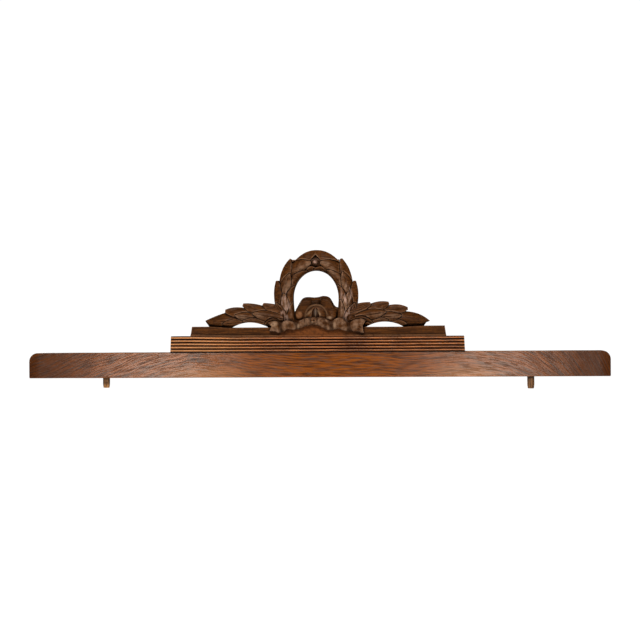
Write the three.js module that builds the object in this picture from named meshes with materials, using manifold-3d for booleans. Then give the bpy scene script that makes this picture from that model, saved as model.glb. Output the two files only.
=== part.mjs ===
// A carved oak pediment: a long rail, a reeded block on it, and a crest with a laurel wreath, a ribbon bow
// and two laurel branches. Millimetres, +X to the object's right as seen from the front, +Y to its back,
// +Z up. The origin is the centre of the rail's underside.

import * as THREE from "three";
import { mergeVertices } from "three/addons/utils/BufferGeometryUtils.js";
import Module from "manifold-3d";

const wasm = await Module();
wasm.setup();

// Sizes shared by all pieces
const BACK = 12; // the flat back of every board
const JOINT_GAP = 0.3;

// Bottom rail
const RAIL_LENGTH = 1160;
const RAIL_HEIGHT = 50.7;
const RAIL_FRONT = -12;
const RAIL_TOP_RADIUS = 17;
const RAIL_EDGE_RADIUS = 2;
const CHIP = { x: -421, width: 21, height: 3.4, depth: 3 };

// Pegs
const PEG_RADIUS = 7;
const PEG_SPACING = 850;
const PEG_SEAT = 25;
const LEFT_PEG_DROP = 20;
const RIGHT_PEG_DROP = 24;

// Reeded block
const BLOCK_LENGTH = 587;
const BLOCK_SHIFT = 1.5;
const BLOCK_END_SLOPE = 0.05;
const BLOCK_FRONT = -17;
const REED_PITCH = 6.1;
const REED_COUNT = 5;
const REED_DEPTH = 2.5;

// Crest: plinth
const PLINTH_LENGTH = 510;
const PLINTH_SHIFT = 3.5;
const PLINTH_END_SLOPE = 0.16;
const PLINTH_HEIGHT = 18.4;
const PLINTH_FRONT = -12.6;
const PLINTH_ARRIS = 1.6; // the worn upper edge of its face
const FILLET_HEIGHT = 3;
const FILLET_DEPTH = 2;
const FILLET_COVE = 0.8;
const GROUND_HALF_WIDTH = 75;
const GROUND_RISE = 6;

// Crest: wreath, as two nested ellipses about the part's middle plane
const WREATH_HALF_WIDTH = 83;
const WREATH_CENTRE = 162;
const WREATH_RISE = 91.7;
const LEAF_STEP = 6; // how far the core stays inside the leaf tips
const EYE_HALF_WIDTH = 45.3;
const EYE_CENTRE = 158.2;
const EYE_RISE = 54.5;
const FOOT_ANGLE = 2.16; // from the wreath's top to the end of each foot, in radians
const FOOT_PINCH = 6;
const WREATH_EDGE_DEPTH = 7;
const WREATH_CROWN = 10;
const BERRY = { x: -1, y: -18, z: 228.5, halfWidth: 5, halfDepth: 4, halfHeight: 4.5 };

// Crest: laurel branches, one on each side
const BRANCH_TIP = 223;
const BRANCH_ROOT = 66;
const BRANCH_TIP_HEIGHT = 114;
const BRANCH_CROWN_HEIGHT = 144;
const BRANCH_CROWN_AT = 95;
const BRANCH_TOE = 213; // the branch's underside rests on the plinth from here inwards
const BRANCH_EDGE_DEPTH = 5;
const BRANCH_CROWN = 9;
const BRANCH_TIERS = [182, 146, 108]; // where the top leaf of each tier ends
const GAP_MIDDLE = 131;
const GAP_HALF_WIDTH = 37;
const GAP_RISE = 10;

// Crest: laurel leaves. A leaf runs from its base to its tip, and from and to are their places across
// the wreath or branch. lift is how far the tip stands off, and floor is how far back the sides are cut.
const WREATH_LEAF_SPAN = 0.75; // radians along the wreath
const CROWN_LEAF = { from: 0.62, to: 0.96, halfWidth: 12, lift: 3, ridge: 2.2, floor: BACK, blunt: 0.7 };
const OUTER_LEAF = { from: 0.62, to: 1.13, halfWidth: 10, lift: 3, ridge: 2.2, floor: BACK, blunt: 0.1 };
const INNER_LEAF = { from: 0.4, to: 0.04, halfWidth: 9, lift: 2.5, ridge: 2.2, floor: 4, blunt: 0.07 };
const FRONT_LEAF = { from: 0.46, to: 0.5, halfWidth: 10, lift: 3.5, ridge: 2.2, floor: 2, blunt: 0.07 };
const WREATH_TIERS = [
  { outer: -0.03, inner: -0.02, front: 0.12 },
  { outer: 0.65, inner: 0.49, front: 0.88 },
  { outer: 1.24, inner: 1.15, front: 1.47 },
  { outer: 1.78, inner: 1.76 },
]; // the angle of each leaf's tip from the wreath's top
const BRANCH_LEAF_SPAN = 48;
const END_LEAF = { from: 0.5, to: 0.5, halfWidth: 12.5, lift: 2, ridge: 2.2, floor: 2, blunt: 0.07 };
const TOP_LEAF = { from: 0.66, to: 1.08, halfWidth: 9, lift: 3, ridge: 2.2, floor: BACK, blunt: 0.15 };
const MIDDLE_LEAF = { from: 0.52, to: 0.5, halfWidth: 8, lift: 3.5, ridge: 2.2, floor: 2, blunt: 0.07 };
const LOWER_LEAF = { from: 0.36, to: 0, halfWidth: 8.5, lift: 3.5, ridge: 2.2, floor: 2, blunt: 0.07 };
const MIDDLE_LEAF_BACK = 16; // how far it ends behind the tier's top leaf
const LOWER_LEAF_BACK = 5;

// Crest: bow, round forms given by their middles and half sizes
const BACK_LOOPS = [
  { x: -15, y: 0, z: 138, halfWidth: 24, halfDepth: 12, halfHeight: 22 },
  { x: 13, y: 0, z: 140, halfWidth: 22, halfDepth: 12, halfHeight: 22.5 },
  { x: -2, y: 0, z: 139, halfWidth: 12, halfDepth: 14, halfHeight: 20 },
];
const HOOD = { x: -1, y: -6, z: 124, halfWidth: 26, halfDepth: 14, halfHeight: 21 };
const HOOD_MOUTH = { x: -1, y: -21, z: 121, halfWidth: 22, halfDepth: 7, halfHeight: 17 };
const HOOD_CHEEKS = { x: -1, y: -9, z: 120, halfWidth: 20, halfDepth: 12, halfHeight: 16 };
const HOOD_HOLLOW = { x: -1, y: -23, z: 125, halfWidth: 6.5, halfDepth: 9, halfHeight: 10 };
const HOOD_FOLD = { x: -1, y: -14, z: 125, halfWidth: 2.2, halfDepth: 5, halfHeight: 9 };
const SIDE_LOOPS = [
  { x: -33, y: -10, z: 121, halfWidth: 8.5, halfDepth: 9, halfHeight: 11 },
  { x: 32, y: -10, z: 122, halfWidth: 8.5, halfDepth: 9, halfHeight: 12 },
];
const BOW_GROUND_FRONT = -9.5;
const BOW_GROUND_REACH = 90;

// Crest: ribbon
const RIBBON_REACH = 97;
const RIBBON_FRONT = -21;
const RIBBON_BILLOW = 3; // how far its folds come forward
const RIBBON_WAVE = 35; // from one fold to the next
const RIBBON_FIRST_FOLD = 16;
const RIBBON_TOP = 114.5;
const RIBBON_TOP_WAVE = 3.6;
const RIBBON_FOOT = 104; // below the knot
const RIBBON_SAG = 10;
const RIBBON_SAG_REACH = 34;
const RIBBON_FOOT_WAVE = 1.6;
const KNOT = { x: -3, y: -22, z: 113.5, halfWidth: 6.5, halfDepth: 5, halfHeight: 6.5 };
const KNOT_DIMPLE = { x: -3, y: -28, z: 113.5, halfWidth: 2.2, halfDepth: 3, halfHeight: 2.2 };

const BLOCK_FOOT = RAIL_HEIGHT + JOINT_GAP;
const BLOCK_TOP = BLOCK_FOOT + REED_PITCH * REED_COUNT - JOINT_GAP;
const PLINTH_FOOT = BLOCK_TOP + JOINT_GAP;
const PLINTH_TOP = PLINTH_FOOT + PLINTH_HEIGHT;

// Solids: a closed geometry becomes a solid, and solids are joined or cut

function signedVolume(positions, index) {
  const a = new THREE.Vector3();
  const b = new THREE.Vector3();
  const c = new THREE.Vector3();
  let volume = 0;
  for (let i = 0; i < index.length; i += 3) {
    a.fromArray(positions, 3 * index[i]);
    b.fromArray(positions, 3 * index[i + 1]);
    c.fromArray(positions, 3 * index[i + 2]);
    volume += a.dot(b.cross(c)) / 6;
  }
  return volume;
}

function solid(geometry) {
  const bare = geometry.clone();
  bare.deleteAttribute("normal");
  bare.deleteAttribute("uv");
  const merged = mergeVertices(bare, 1e-4);
  const vertProperties = Float32Array.from(merged.attributes.position.array);
  const triVerts = [];
  const corners = merged.index.array;
  for (let i = 0; i < corners.length; i += 3) {
    const [a, b, c] = corners.slice(i, i + 3);
    if (a !== b && b !== c && c !== a) triVerts.push(a, b, c);
  }
  if (signedVolume(vertProperties, triVerts) < 0) triVerts.reverse();
  const mesh = new wasm.Mesh({ numProp: 3, vertProperties, triVerts: Uint32Array.from(triVerts) });
  return new wasm.Manifold(mesh);
}

function join(solids) {
  return solids.reduce((whole, piece) => whole.add(piece));
}

function piece(name, shape, color, roughness) {
  const { vertProperties, triVerts } = shape.getMesh();
  const geometry = new THREE.BufferGeometry();
  geometry.setAttribute("position", new THREE.BufferAttribute(Float32Array.from(vertProperties), 3));
  geometry.setIndex(new THREE.BufferAttribute(Uint32Array.from(triVerts), 1));
  const material = new THREE.MeshStandardMaterial({ color, roughness, metalness: 0, flatShading: true });
  const mesh = new THREE.Mesh(geometry, material);
  mesh.name = name;
  return mesh;
}

// A skin through rings of points, each ring with the same count, closed over both ends
function loft(rings) {
  const count = rings[0].length;
  const index = [];
  for (let r = 0; r + 1 < rings.length; r++) {
    for (let i = 0; i < count; i++) {
      const a = r * count + i;
      const b = r * count + ((i + 1) % count);
      index.push(a, b, b + count, a, b + count, a + count);
    }
  }
  const last = (rings.length - 1) * count;
  for (let i = 1; i + 1 < count; i++) index.push(0, i + 1, i, last, last + i, last + i + 1);
  const geometry = new THREE.BufferGeometry();
  geometry.setAttribute("position", new THREE.Float32BufferAttribute(rings.flat(2), 3));
  geometry.setIndex(index);
  return geometry;
}

// A front outline (x, z) as a slab between two depths
function slab(outline, front, back, curveSegments = 8) {
  const settings = { depth: back - front, bevelEnabled: false, curveSegments };
  return new THREE.ExtrudeGeometry(outline, settings).rotateX(Math.PI / 2).translate(0, back, 0);
}

// A moulding's section (y, z) run along x, its ends leaning inwards by slope
function moulding(section, length, shift, slope, foot) {
  const geometry = new THREE.ExtrudeGeometry(section, { depth: length, bevelEnabled: false });
  const { position } = geometry.attributes;
  for (let i = 0; i < position.count; i++) {
    const [y, z, run] = [position.getX(i), position.getY(i), position.getZ(i)];
    const half = length / 2 - slope * (z - foot);
    position.setXYZ(i, shift + (run > length / 2 ? half : -half), y, z);
  }
  return geometry;
}

function egg({ x, y, z, halfWidth, halfDepth, halfHeight }) {
  const geometry = new THREE.SphereGeometry(1, 12, 8).scale(halfWidth, halfDepth, halfHeight);
  return solid(geometry.translate(x, y, z));
}

// Bottom rail: one board with rounded top corners and two blind holes for the pegs in its underside

function railOutline() {
  const outline = new THREE.Shape();
  const corner = (side, z, radius, start) => {
    outline.absarc(side * (RAIL_LENGTH / 2 - radius), z, radius, start, start + Math.PI / 2);
  };
  outline.moveTo(RAIL_LENGTH / 2 - RAIL_EDGE_RADIUS, 0);
  corner(1, RAIL_EDGE_RADIUS, RAIL_EDGE_RADIUS, -Math.PI / 2);
  corner(1, RAIL_HEIGHT - RAIL_TOP_RADIUS, RAIL_TOP_RADIUS, 0);
  corner(-1, RAIL_HEIGHT - RAIL_TOP_RADIUS, RAIL_TOP_RADIUS, Math.PI / 2);
  corner(-1, RAIL_EDGE_RADIUS, RAIL_EDGE_RADIUS, Math.PI);
  return outline;
}

function pegHole(x) {
  const depth = PEG_SEAT + JOINT_GAP;
  const bore = new THREE.CylinderGeometry(PEG_RADIUS + JOINT_GAP, PEG_RADIUS + JOINT_GAP, depth + 1, 24);
  return solid(bore.rotateX(Math.PI / 2).translate(x, 0, (depth - 1) / 2));
}

// A splinter lost from the front arris in front of the left peg
function railChip() {
  const lost = new THREE.Shape();
  lost.moveTo(-CHIP.width / 2, -1);
  lost.lineTo(CHIP.width / 2, -1);
  lost.lineTo(CHIP.width * 0.3, CHIP.height * 0.7);
  lost.lineTo(-CHIP.width * 0.2, CHIP.height);
  const block = slab(lost, -CHIP.depth, CHIP.depth);
  return solid(block.rotateX(0.35).translate(CHIP.x, RAIL_FRONT - 0.5, 0));
}

function bottomRail() {
  let rail = solid(slab(railOutline(), RAIL_FRONT, BACK, 8));
  for (const side of [-1, 1]) rail = rail.subtract(pegHole((side * PEG_SPACING) / 2));
  return rail.subtract(railChip());
}

// Pegs: turned dowels with a slightly worn, chamfered lower end

function peg(x, drop) {
  const profile = [
    new THREE.Vector2(0, -drop),
    new THREE.Vector2(PEG_RADIUS * 0.8, -drop),
    new THREE.Vector2(PEG_RADIUS * 0.96, -drop + 3),
    new THREE.Vector2(PEG_RADIUS, -drop + 8),
    new THREE.Vector2(PEG_RADIUS, PEG_SEAT - 1),
    new THREE.Vector2(PEG_RADIUS - 1, PEG_SEAT),
    new THREE.Vector2(0, PEG_SEAT),
  ];
  return solid(new THREE.LatheGeometry(profile, 24).rotateX(Math.PI / 2).translate(x, 0, 0));
}

// Reeded block: five run-through reeds on the face

function reededBlock() {
  const section = new THREE.Shape();
  section.moveTo(BACK, BLOCK_FOOT);
  section.lineTo(BLOCK_FRONT + REED_DEPTH, BLOCK_FOOT);
  const steps = 6;
  for (let reed = 0; reed < REED_COUNT; reed++) {
    const foot = BLOCK_FOOT + reed * REED_PITCH;
    const top = Math.min(foot + REED_PITCH, BLOCK_TOP);
    for (let i = 1; i <= steps; i++) {
      const turn = (Math.PI * i) / steps;
      const z = (foot + top) / 2 - ((top - foot) / 2) * Math.cos(turn);
      section.lineTo(BLOCK_FRONT + REED_DEPTH * (1 - Math.sin(turn)), z);
    }
  }
  section.lineTo(BACK, BLOCK_TOP);
  return solid(moulding(section, BLOCK_LENGTH, BLOCK_SHIFT, BLOCK_END_SLOPE, BLOCK_FOOT));
}

// Carved crest, plinth: a board with a small fillet along its foot and a low rise of ground at its middle

function plinth() {
  const section = new THREE.Shape();
  section.moveTo(BACK, PLINTH_FOOT);
  section.lineTo(PLINTH_FRONT - FILLET_DEPTH, PLINTH_FOOT);
  section.lineTo(PLINTH_FRONT - FILLET_DEPTH, PLINTH_FOOT + FILLET_HEIGHT);
  section.lineTo(PLINTH_FRONT + FILLET_COVE, PLINTH_FOOT + FILLET_HEIGHT + FILLET_COVE);
  section.lineTo(PLINTH_FRONT, PLINTH_FOOT + FILLET_HEIGHT + 2 * FILLET_COVE);
  section.lineTo(PLINTH_FRONT, PLINTH_TOP - PLINTH_ARRIS);
  section.lineTo(PLINTH_FRONT + PLINTH_ARRIS, PLINTH_TOP);
  section.lineTo(BACK, PLINTH_TOP);
  const board = solid(moulding(section, PLINTH_LENGTH, PLINTH_SHIFT, PLINTH_END_SLOPE, PLINTH_FOOT));
  const rise = new THREE.Shape();
  rise.absellipse(0, PLINTH_TOP - 4, GROUND_HALF_WIDTH, GROUND_RISE + 4, 0, Math.PI);
  return board.add(solid(slab(rise, PLINTH_FRONT + 1, BACK, 10)));
}

// Carved crest, surfaces: place(along, across) gives the point of a domed relief, where along is the
// station on its middle line and across runs from 0 at its inner or lower edge to 1 at the other

function wreathPlace(side) {
  return (angle, across) => {
    const drop = Math.cos(angle);
    const leg = Math.max(0, -drop / -Math.cos(FOOT_ANGLE));
    const inner = drop > 0
      ? [EYE_HALF_WIDTH * Math.sin(angle), EYE_CENTRE + EYE_RISE * drop]
      : [EYE_HALF_WIDTH - FOOT_PINCH * leg * leg, EYE_CENTRE + WREATH_RISE * drop];
    const outer = [
      (WREATH_HALF_WIDTH - LEAF_STEP) * Math.sin(angle),
      WREATH_CENTRE + (WREATH_RISE - LEAF_STEP) * drop,
    ];
    const x = THREE.MathUtils.lerp(inner[0], outer[0], across);
    const z = THREE.MathUtils.lerp(inner[1], outer[1], across);
    const dome = 1 - (2 * across - 1) ** 2;
    return new THREE.Vector3(side * x, -WREATH_EDGE_DEPTH - WREATH_CROWN * dome, z);
  };
}

function branchEdges(reach) {
  const share = Math.max(0, (reach - BRANCH_CROWN_AT) / (BRANCH_TIP - BRANCH_CROWN_AT));
  const top = BRANCH_CROWN_HEIGHT - (BRANCH_CROWN_HEIGHT - BRANCH_TIP_HEIGHT) * share ** 2.2;
  const toe = THREE.MathUtils.clamp((reach - BRANCH_TOE) / (BRANCH_TIP - BRANCH_TOE), 0, 1);
  const foot = PLINTH_TOP + (BRANCH_TIP_HEIGHT - PLINTH_TOP) * toe;
  return [foot - 1, Math.max(top, foot + 1)];
}

function branchPlace(side) {
  return (reach, across) => {
    const [foot, top] = branchEdges(reach);
    const fullness = Math.min(1, (top - foot) / 30);
    const dome = (1 - (2 * across - 1) ** 2) * fullness;
    const y = -BRANCH_EDGE_DEPTH - BRANCH_CROWN * dome;
    return new THREE.Vector3(side * reach, y, THREE.MathUtils.lerp(foot, top, across));
  };
}

// A relief body from its flat back to its domed front
function reliefBody(place, stations) {
  const shares = [0, 0.08, 0.3, 0.5, 0.7, 0.92, 1];
  const rings = stations.map((station) => {
    const front = shares.map((share) => place(station, share).toArray());
    const [low, high] = [front[0], front.at(-1)];
    return [[low[0], BACK, low[2]], ...front, [high[0], BACK, high[2]]];
  });
  return solid(loft(rings));
}

// One laurel leaf laid on a surface, from its hidden base to its raised tip: a ridge along its middle,
// two flat facets and a blunt point. It is cut straight back as far as floor.
const LEAF_SHARES = [0, 0.3, 0.55, 0.8, 1];

function leafWidthShare(share, blunt) {
  const widest = 0.45;
  if (share < widest) return 1 - 0.5 * ((widest - share) / widest) ** 2;
  return 1 - (1 - blunt) * ((share - widest) / (1 - widest)) ** 1.7;
}

function leaf(place, base, tip, { from, to, halfWidth, lift, ridge, floor, blunt }) {
  const spine = (share) => place(
    THREE.MathUtils.lerp(base, tip, share),
    THREE.MathUtils.lerp(from, to, share),
  );
  const rings = LEAF_SHARES.map((share) => {
    const point = spine(share);
    const along = spine(share + 0.02).sub(spine(share - 0.02)).setY(0).normalize();
    const across = new THREE.Vector3(-along.z, 0, along.x);
    const fullness = leafWidthShare(share, blunt);
    const rise = -0.5 + lift * share;
    const edge = (sign) => {
      const x = point.x + sign * halfWidth * fullness * across.x;
      const z = point.z + sign * halfWidth * fullness * across.z;
      return [x, point.y - rise, z];
    };
    const [left, right] = [edge(-1), edge(1)];
    const crest = [point.x, point.y - rise - ridge * fullness, point.z];
    return [[left[0], floor, left[2]], left, crest, right, [right[0], floor, right[2]]];
  });
  return solid(loft(rings));
}

// Carved crest, wreath: in each tier an outer and an inner leaf part from each other, and the tip of a
// front leaf covers the place where they part. All point up, and the uppermost meet round a berry.

function wreathLeaves(side) {
  const place = wreathPlace(side);
  const base = (tip) => Math.min(tip + WREATH_LEAF_SPAN, FOOT_ANGLE);
  return WREATH_TIERS.flatMap(({ outer, inner, front }, tier) => [
    leaf(place, base(outer), outer, tier ? OUTER_LEAF : CROWN_LEAF),
    leaf(place, base(inner), inner, INNER_LEAF),
    ...(front ? [leaf(place, base(front), front, FRONT_LEAF)] : []),
  ]);
}

function wreath() {
  const count = 22;
  const stations = Array.from({ length: count + 1 }, (_, i) => FOOT_ANGLE * (i / count));
  const arms = [-1, 1].map((side) => reliefBody(wreathPlace(side), stations));
  const eye = new THREE.Shape();
  eye.absellipse(0, EYE_CENTRE, EYE_HALF_WIDTH, EYE_RISE, 0, Math.PI);
  eye.lineTo(-EYE_HALF_WIDTH + FOOT_PINCH, EYE_CENTRE - EYE_RISE);
  eye.lineTo(EYE_HALF_WIDTH - FOOT_PINCH, EYE_CENTRE - EYE_RISE);
  const ring = join([...arms, ...wreathLeaves(-1), ...wreathLeaves(1)]);
  return ring.subtract(solid(slab(eye, 5 * RAIL_FRONT, BACK + 10, 14))).add(egg(BERRY));
}

// Carved crest, branches: tiers of three leaves like the wreath's, and one leaf at the tip

function branchLeaves(side) {
  const place = branchPlace(side);
  const grow = (tip, kind) => leaf(place, Math.max(tip - BRANCH_LEAF_SPAN, BRANCH_ROOT), tip, kind);
  return [grow(BRANCH_TIP, END_LEAF)].concat(BRANCH_TIERS.flatMap((tip) => [
    grow(tip, TOP_LEAF),
    grow(tip - MIDDLE_LEAF_BACK, MIDDLE_LEAF),
    grow(tip - LOWER_LEAF_BACK, LOWER_LEAF),
  ]));
}

// The arched gap between a branch and the plinth, a segment of a circle
function branchGap(side) {
  const radius = (GAP_HALF_WIDTH ** 2 + GAP_RISE ** 2) / (2 * GAP_RISE);
  const half = Math.asin(GAP_HALF_WIDTH / radius);
  const centre = PLINTH_TOP + GAP_RISE - radius;
  const gap = new THREE.Shape();
  gap.absarc(side * GAP_MIDDLE, centre, radius, Math.PI / 2 - half, Math.PI / 2 + half);
  gap.lineTo(side * GAP_MIDDLE - GAP_HALF_WIDTH, PLINTH_FOOT);
  gap.lineTo(side * GAP_MIDDLE + GAP_HALF_WIDTH, PLINTH_FOOT);
  return solid(slab(gap, 5 * RAIL_FRONT, BACK + 10, 10));
}

function branch(side) {
  const count = 9;
  const step = (BRANCH_TOE - BRANCH_ROOT) / count;
  const stations = Array.from({ length: count + 1 }, (_, i) => BRANCH_ROOT + step * i);
  stations.push((BRANCH_TOE + BRANCH_TIP) / 2, BRANCH_TIP - 0.5);
  const body = reliefBody(branchPlace(side), stations);
  return join([body, ...branchLeaves(side)]).subtract(branchGap(side));
}

// Carved crest, bow: round back loops, a hooded front loop with a hollow, and a small loop on each side

function bow() {
  const ground = new THREE.Shape();
  ground.moveTo(-BOW_GROUND_REACH, PLINTH_TOP - 2);
  ground.lineTo(BOW_GROUND_REACH, PLINTH_TOP - 2);
  ground.lineTo(BOW_GROUND_REACH - 4, 113);
  ground.lineTo(EYE_HALF_WIDTH + 3, 116);
  ground.lineTo(EYE_HALF_WIDTH - 1, 139);
  ground.lineTo(-EYE_HALF_WIDTH + 4, 134);
  ground.lineTo(-EYE_HALF_WIDTH - 3, 116);
  ground.lineTo(-BOW_GROUND_REACH + 4, 113);
  const back = join([...BACK_LOOPS.map(egg), egg(HOOD), solid(slab(ground, BOW_GROUND_FRONT, BACK))]);
  const front = back.subtract(egg(HOOD_MOUTH)).add(egg(HOOD_CHEEKS)).subtract(egg(HOOD_HOLLOW));
  const behind = new THREE.BoxGeometry(200, 60, 200).translate(0, BACK + 30, 130);
  return join([front, egg(HOOD_FOLD), ...SIDE_LOOPS.map(egg)]).subtract(solid(behind));
}

// Carved crest, ribbon: a folded band that waves across the feet of the wreath, with swallowtail ends

function ribbonEdges(reach) {
  const wave = (2 * Math.PI * (reach - RIBBON_FIRST_FOLD)) / RIBBON_WAVE;
  const flare = reach < RIBBON_FIRST_FOLD ? 1 : Math.cos(wave);
  const sag = RIBBON_SAG * Math.min(reach / RIBBON_SAG_REACH, 1) ** 1.2;
  const fall = Math.max(0, reach - RIBBON_SAG_REACH);
  const foot = RIBBON_FOOT - sag - 0.1 * fall + (fall ? RIBBON_FOOT_WAVE * (1 + Math.sin(wave)) : 0);
  return [foot, RIBBON_TOP - 0.02 * reach + RIBBON_TOP_WAVE * flare, RIBBON_FRONT - RIBBON_BILLOW * flare];
}

function ribbon() {
  const count = 44;
  const rings = [];
  for (let i = 0; i <= count; i++) {
    const x = THREE.MathUtils.lerp(-RIBBON_REACH, RIBBON_REACH, i / count);
    const [foot, top, front] = ribbonEdges(Math.abs(x));
    const face = [[x, front + 2, foot], [x, front, (foot + top) / 2], [x, front + 1.5, top]];
    rings.push([[x, 0, foot], ...face, [x, 0, top]]);
  }
  let band = solid(loft(rings));
  for (const side of [-1, 1]) {
    const notch = new THREE.Shape();
    notch.moveTo(side * (RIBBON_REACH - 7), 101);
    notch.lineTo(side * (RIBBON_REACH + 5), 97);
    notch.lineTo(side * (RIBBON_REACH + 5), 106);
    band = band.subtract(solid(slab(notch, 5 * RAIL_FRONT, 0)));
  }
  return band.add(egg(KNOT)).subtract(egg(KNOT_DIMPLE));
}

function carvedCrest() {
  return join([plinth(), wreath(), branch(-1), branch(1), bow(), ribbon()]);
}

const pediment = new THREE.Group();
pediment.add(
  piece("bottom_rail", bottomRail(), 0x804923, 0.45),
  piece("left_peg", peg(-PEG_SPACING / 2, LEFT_PEG_DROP), 0x8a5a38, 0.65),
  piece("right_peg", peg(PEG_SPACING / 2, RIGHT_PEG_DROP), 0x6b452c, 0.65),
  piece("reeded_block", reededBlock(), 0x8e5c36, 0.4),
  piece("carved_crest", carvedCrest(), 0x5a3a26, 0.42),
);

export default pediment;
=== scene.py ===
import math
from functools import partial

import bpy
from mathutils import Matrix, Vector, noise


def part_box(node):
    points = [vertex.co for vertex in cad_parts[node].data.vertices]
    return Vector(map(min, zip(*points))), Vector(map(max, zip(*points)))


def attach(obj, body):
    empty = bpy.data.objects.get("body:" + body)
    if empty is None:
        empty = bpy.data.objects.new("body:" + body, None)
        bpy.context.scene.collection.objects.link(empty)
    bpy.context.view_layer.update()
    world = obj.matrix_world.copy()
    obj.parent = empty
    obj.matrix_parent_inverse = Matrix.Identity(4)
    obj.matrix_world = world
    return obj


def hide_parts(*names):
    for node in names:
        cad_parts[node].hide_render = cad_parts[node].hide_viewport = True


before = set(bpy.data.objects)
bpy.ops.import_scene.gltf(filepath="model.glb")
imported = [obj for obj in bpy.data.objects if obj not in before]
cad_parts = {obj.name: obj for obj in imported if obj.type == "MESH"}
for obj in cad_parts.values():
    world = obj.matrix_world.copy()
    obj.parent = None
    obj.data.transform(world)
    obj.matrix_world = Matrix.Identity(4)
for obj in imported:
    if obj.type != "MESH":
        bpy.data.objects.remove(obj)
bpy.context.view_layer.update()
MM = 0.001

# The camera
# A long lens at the height of the laurel branches, a little to the right of the pediment's middle and
# slightly turned about its own axis, so that the right end comes out a touch larger and higher.
LENS = 70
SENSOR_WIDTH = 36
CAMERA_DISTANCE = 2.489
CAMERA_HEIGHT = 0.114
CAMERA_SIDE_ANGLE = math.radians(3.45)
CAMERA_ROLL = math.radians(0.37)
CAMERA_AIM = math.radians(0.175)

camera_data = bpy.data.cameras.new("camera")
camera_data.lens = LENS
camera_data.sensor_width = SENSOR_WIDTH
camera_data.sensor_fit = "HORIZONTAL"
camera = bpy.data.objects.new("camera", camera_data)
camera.location = (
    CAMERA_DISTANCE * math.sin(CAMERA_SIDE_ANGLE),
    -CAMERA_DISTANCE * math.cos(CAMERA_SIDE_ANGLE),
    CAMERA_HEIGHT,
)
camera.rotation_euler = (math.pi / 2, CAMERA_ROLL, CAMERA_SIDE_ANGLE - CAMERA_AIM)
bpy.context.scene.collection.objects.link(camera)
bpy.context.scene.camera = camera
bpy.context.scene.view_settings.view_transform = "Standard"

# The studio
# A pale floor well below the pediment, a white room, and two tall soft boxes beside the camera, whose
# reflections lie on the rail to the left and right of its middle.
FLOOR_DEPTH = -0.6
FLOOR_SIZE = 40
FLOOR_GLOW = 0.05
FLOOR_GLOW_SEEN = 1.0
ROOM_LIGHT = 0.04
ROOM_LIGHT_SEEN = 1.05
LIGHT_TONE = (1.0, 0.93, 0.84)
FRONT_BOX_HEIGHT = 0.5
CREST_MIDDLE = (0, 0, 0.1)


def add(tree, kind, inputs=None, **settings):
    """A shader node with its settings and inputs, each input a value or the socket that feeds it."""
    node = tree.nodes.new("ShaderNode" + kind)
    for name, value in settings.items():
        setattr(node, name, value)
    for socket, value in (inputs or {}).items():
        if isinstance(value, bpy.types.NodeSocket):
            tree.links.new(value, node.inputs[socket])
        else:
            node.inputs[socket].default_value = value
    return node


def ramp(tree, value, start, end, low=0.0, high=1.0, soft=False):
    """low while value is short of start, high once it is past end, and a change between them."""
    ends = {"Value": value, "From Min": start, "From Max": end, "To Min": low, "To Max": high}
    kind = "SMOOTHSTEP" if soft else "LINEAR"
    return add(tree, "MapRange", ends, interpolation_type=kind).outputs[0]


def tone(red, green, blue):
    """A colour given as it looks on a screen, from 0 to 255, for a shader."""
    parts = [value / 255 for value in (red, green, blue)]
    return (*[p / 12.92 if p <= 0.04045 else ((p + 0.055) / 1.055) ** 2.4 for p in parts], 1)


def shape(operator, name, **settings):
    """A new piece made by one of Blender's mesh operators, the only selected object."""
    bpy.ops.object.select_all(action="DESELECT")
    operator(**settings)
    piece = bpy.context.object
    piece.name = piece.data.name = name
    return piece


floor = shape(bpy.ops.mesh.primitive_plane_add, "floor", size=FLOOR_SIZE, location=(0, 0, FLOOR_DEPTH))
floor_paint = bpy.data.materials.new("pale_floor")
floor_paint.use_nodes = True
floor_tree = floor_paint.node_tree
floor_shader = floor_tree.nodes["Principled BSDF"]
floor_shader.inputs["Base Color"].default_value = tone(235, 235, 235)
floor_shader.inputs["Roughness"].default_value = 0.9
floor_shader.inputs["Emission Color"].default_value = (1, 1, 1, 1)
floor_seen = add(floor_tree, "LightPath").outputs["Is Camera Ray"]
floor_glow = ramp(floor_tree, floor_seen, 0, 1, FLOOR_GLOW, FLOOR_GLOW_SEEN)
floor_tree.links.new(floor_glow, floor_shader.inputs["Emission Strength"])
floor.data.materials.append(floor_paint)

room = bpy.data.worlds.new("white_room")
room.use_nodes = True
bpy.context.scene.world = room
room_tree = room.node_tree
room_tree.nodes.clear()
room_seen = add(room_tree, "LightPath").outputs["Is Camera Ray"]
room_strength = ramp(room_tree, room_seen, 0, 1, ROOM_LIGHT, ROOM_LIGHT_SEEN)
room_shader = add(room_tree, "Background", {"Color": (1, 1, 1, 1), "Strength": room_strength})
add(room_tree, "OutputWorld", {"Surface": room_shader.outputs[0]})


def soft_box(name, place, target, width, height, power):
    """A rectangular area light at place, facing target."""
    light = bpy.data.lights.new(name, "AREA")
    light.shape = "RECTANGLE"
    light.size = width
    light.size_y = height
    light.energy = power
    light.color = LIGHT_TONE
    lamp = bpy.data.objects.new(name, light)
    lamp.location = place
    lamp.rotation_euler = (Vector(target) - Vector(place)).to_track_quat("-Z", "Y").to_euler()
    bpy.context.scene.collection.objects.link(lamp)


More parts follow.
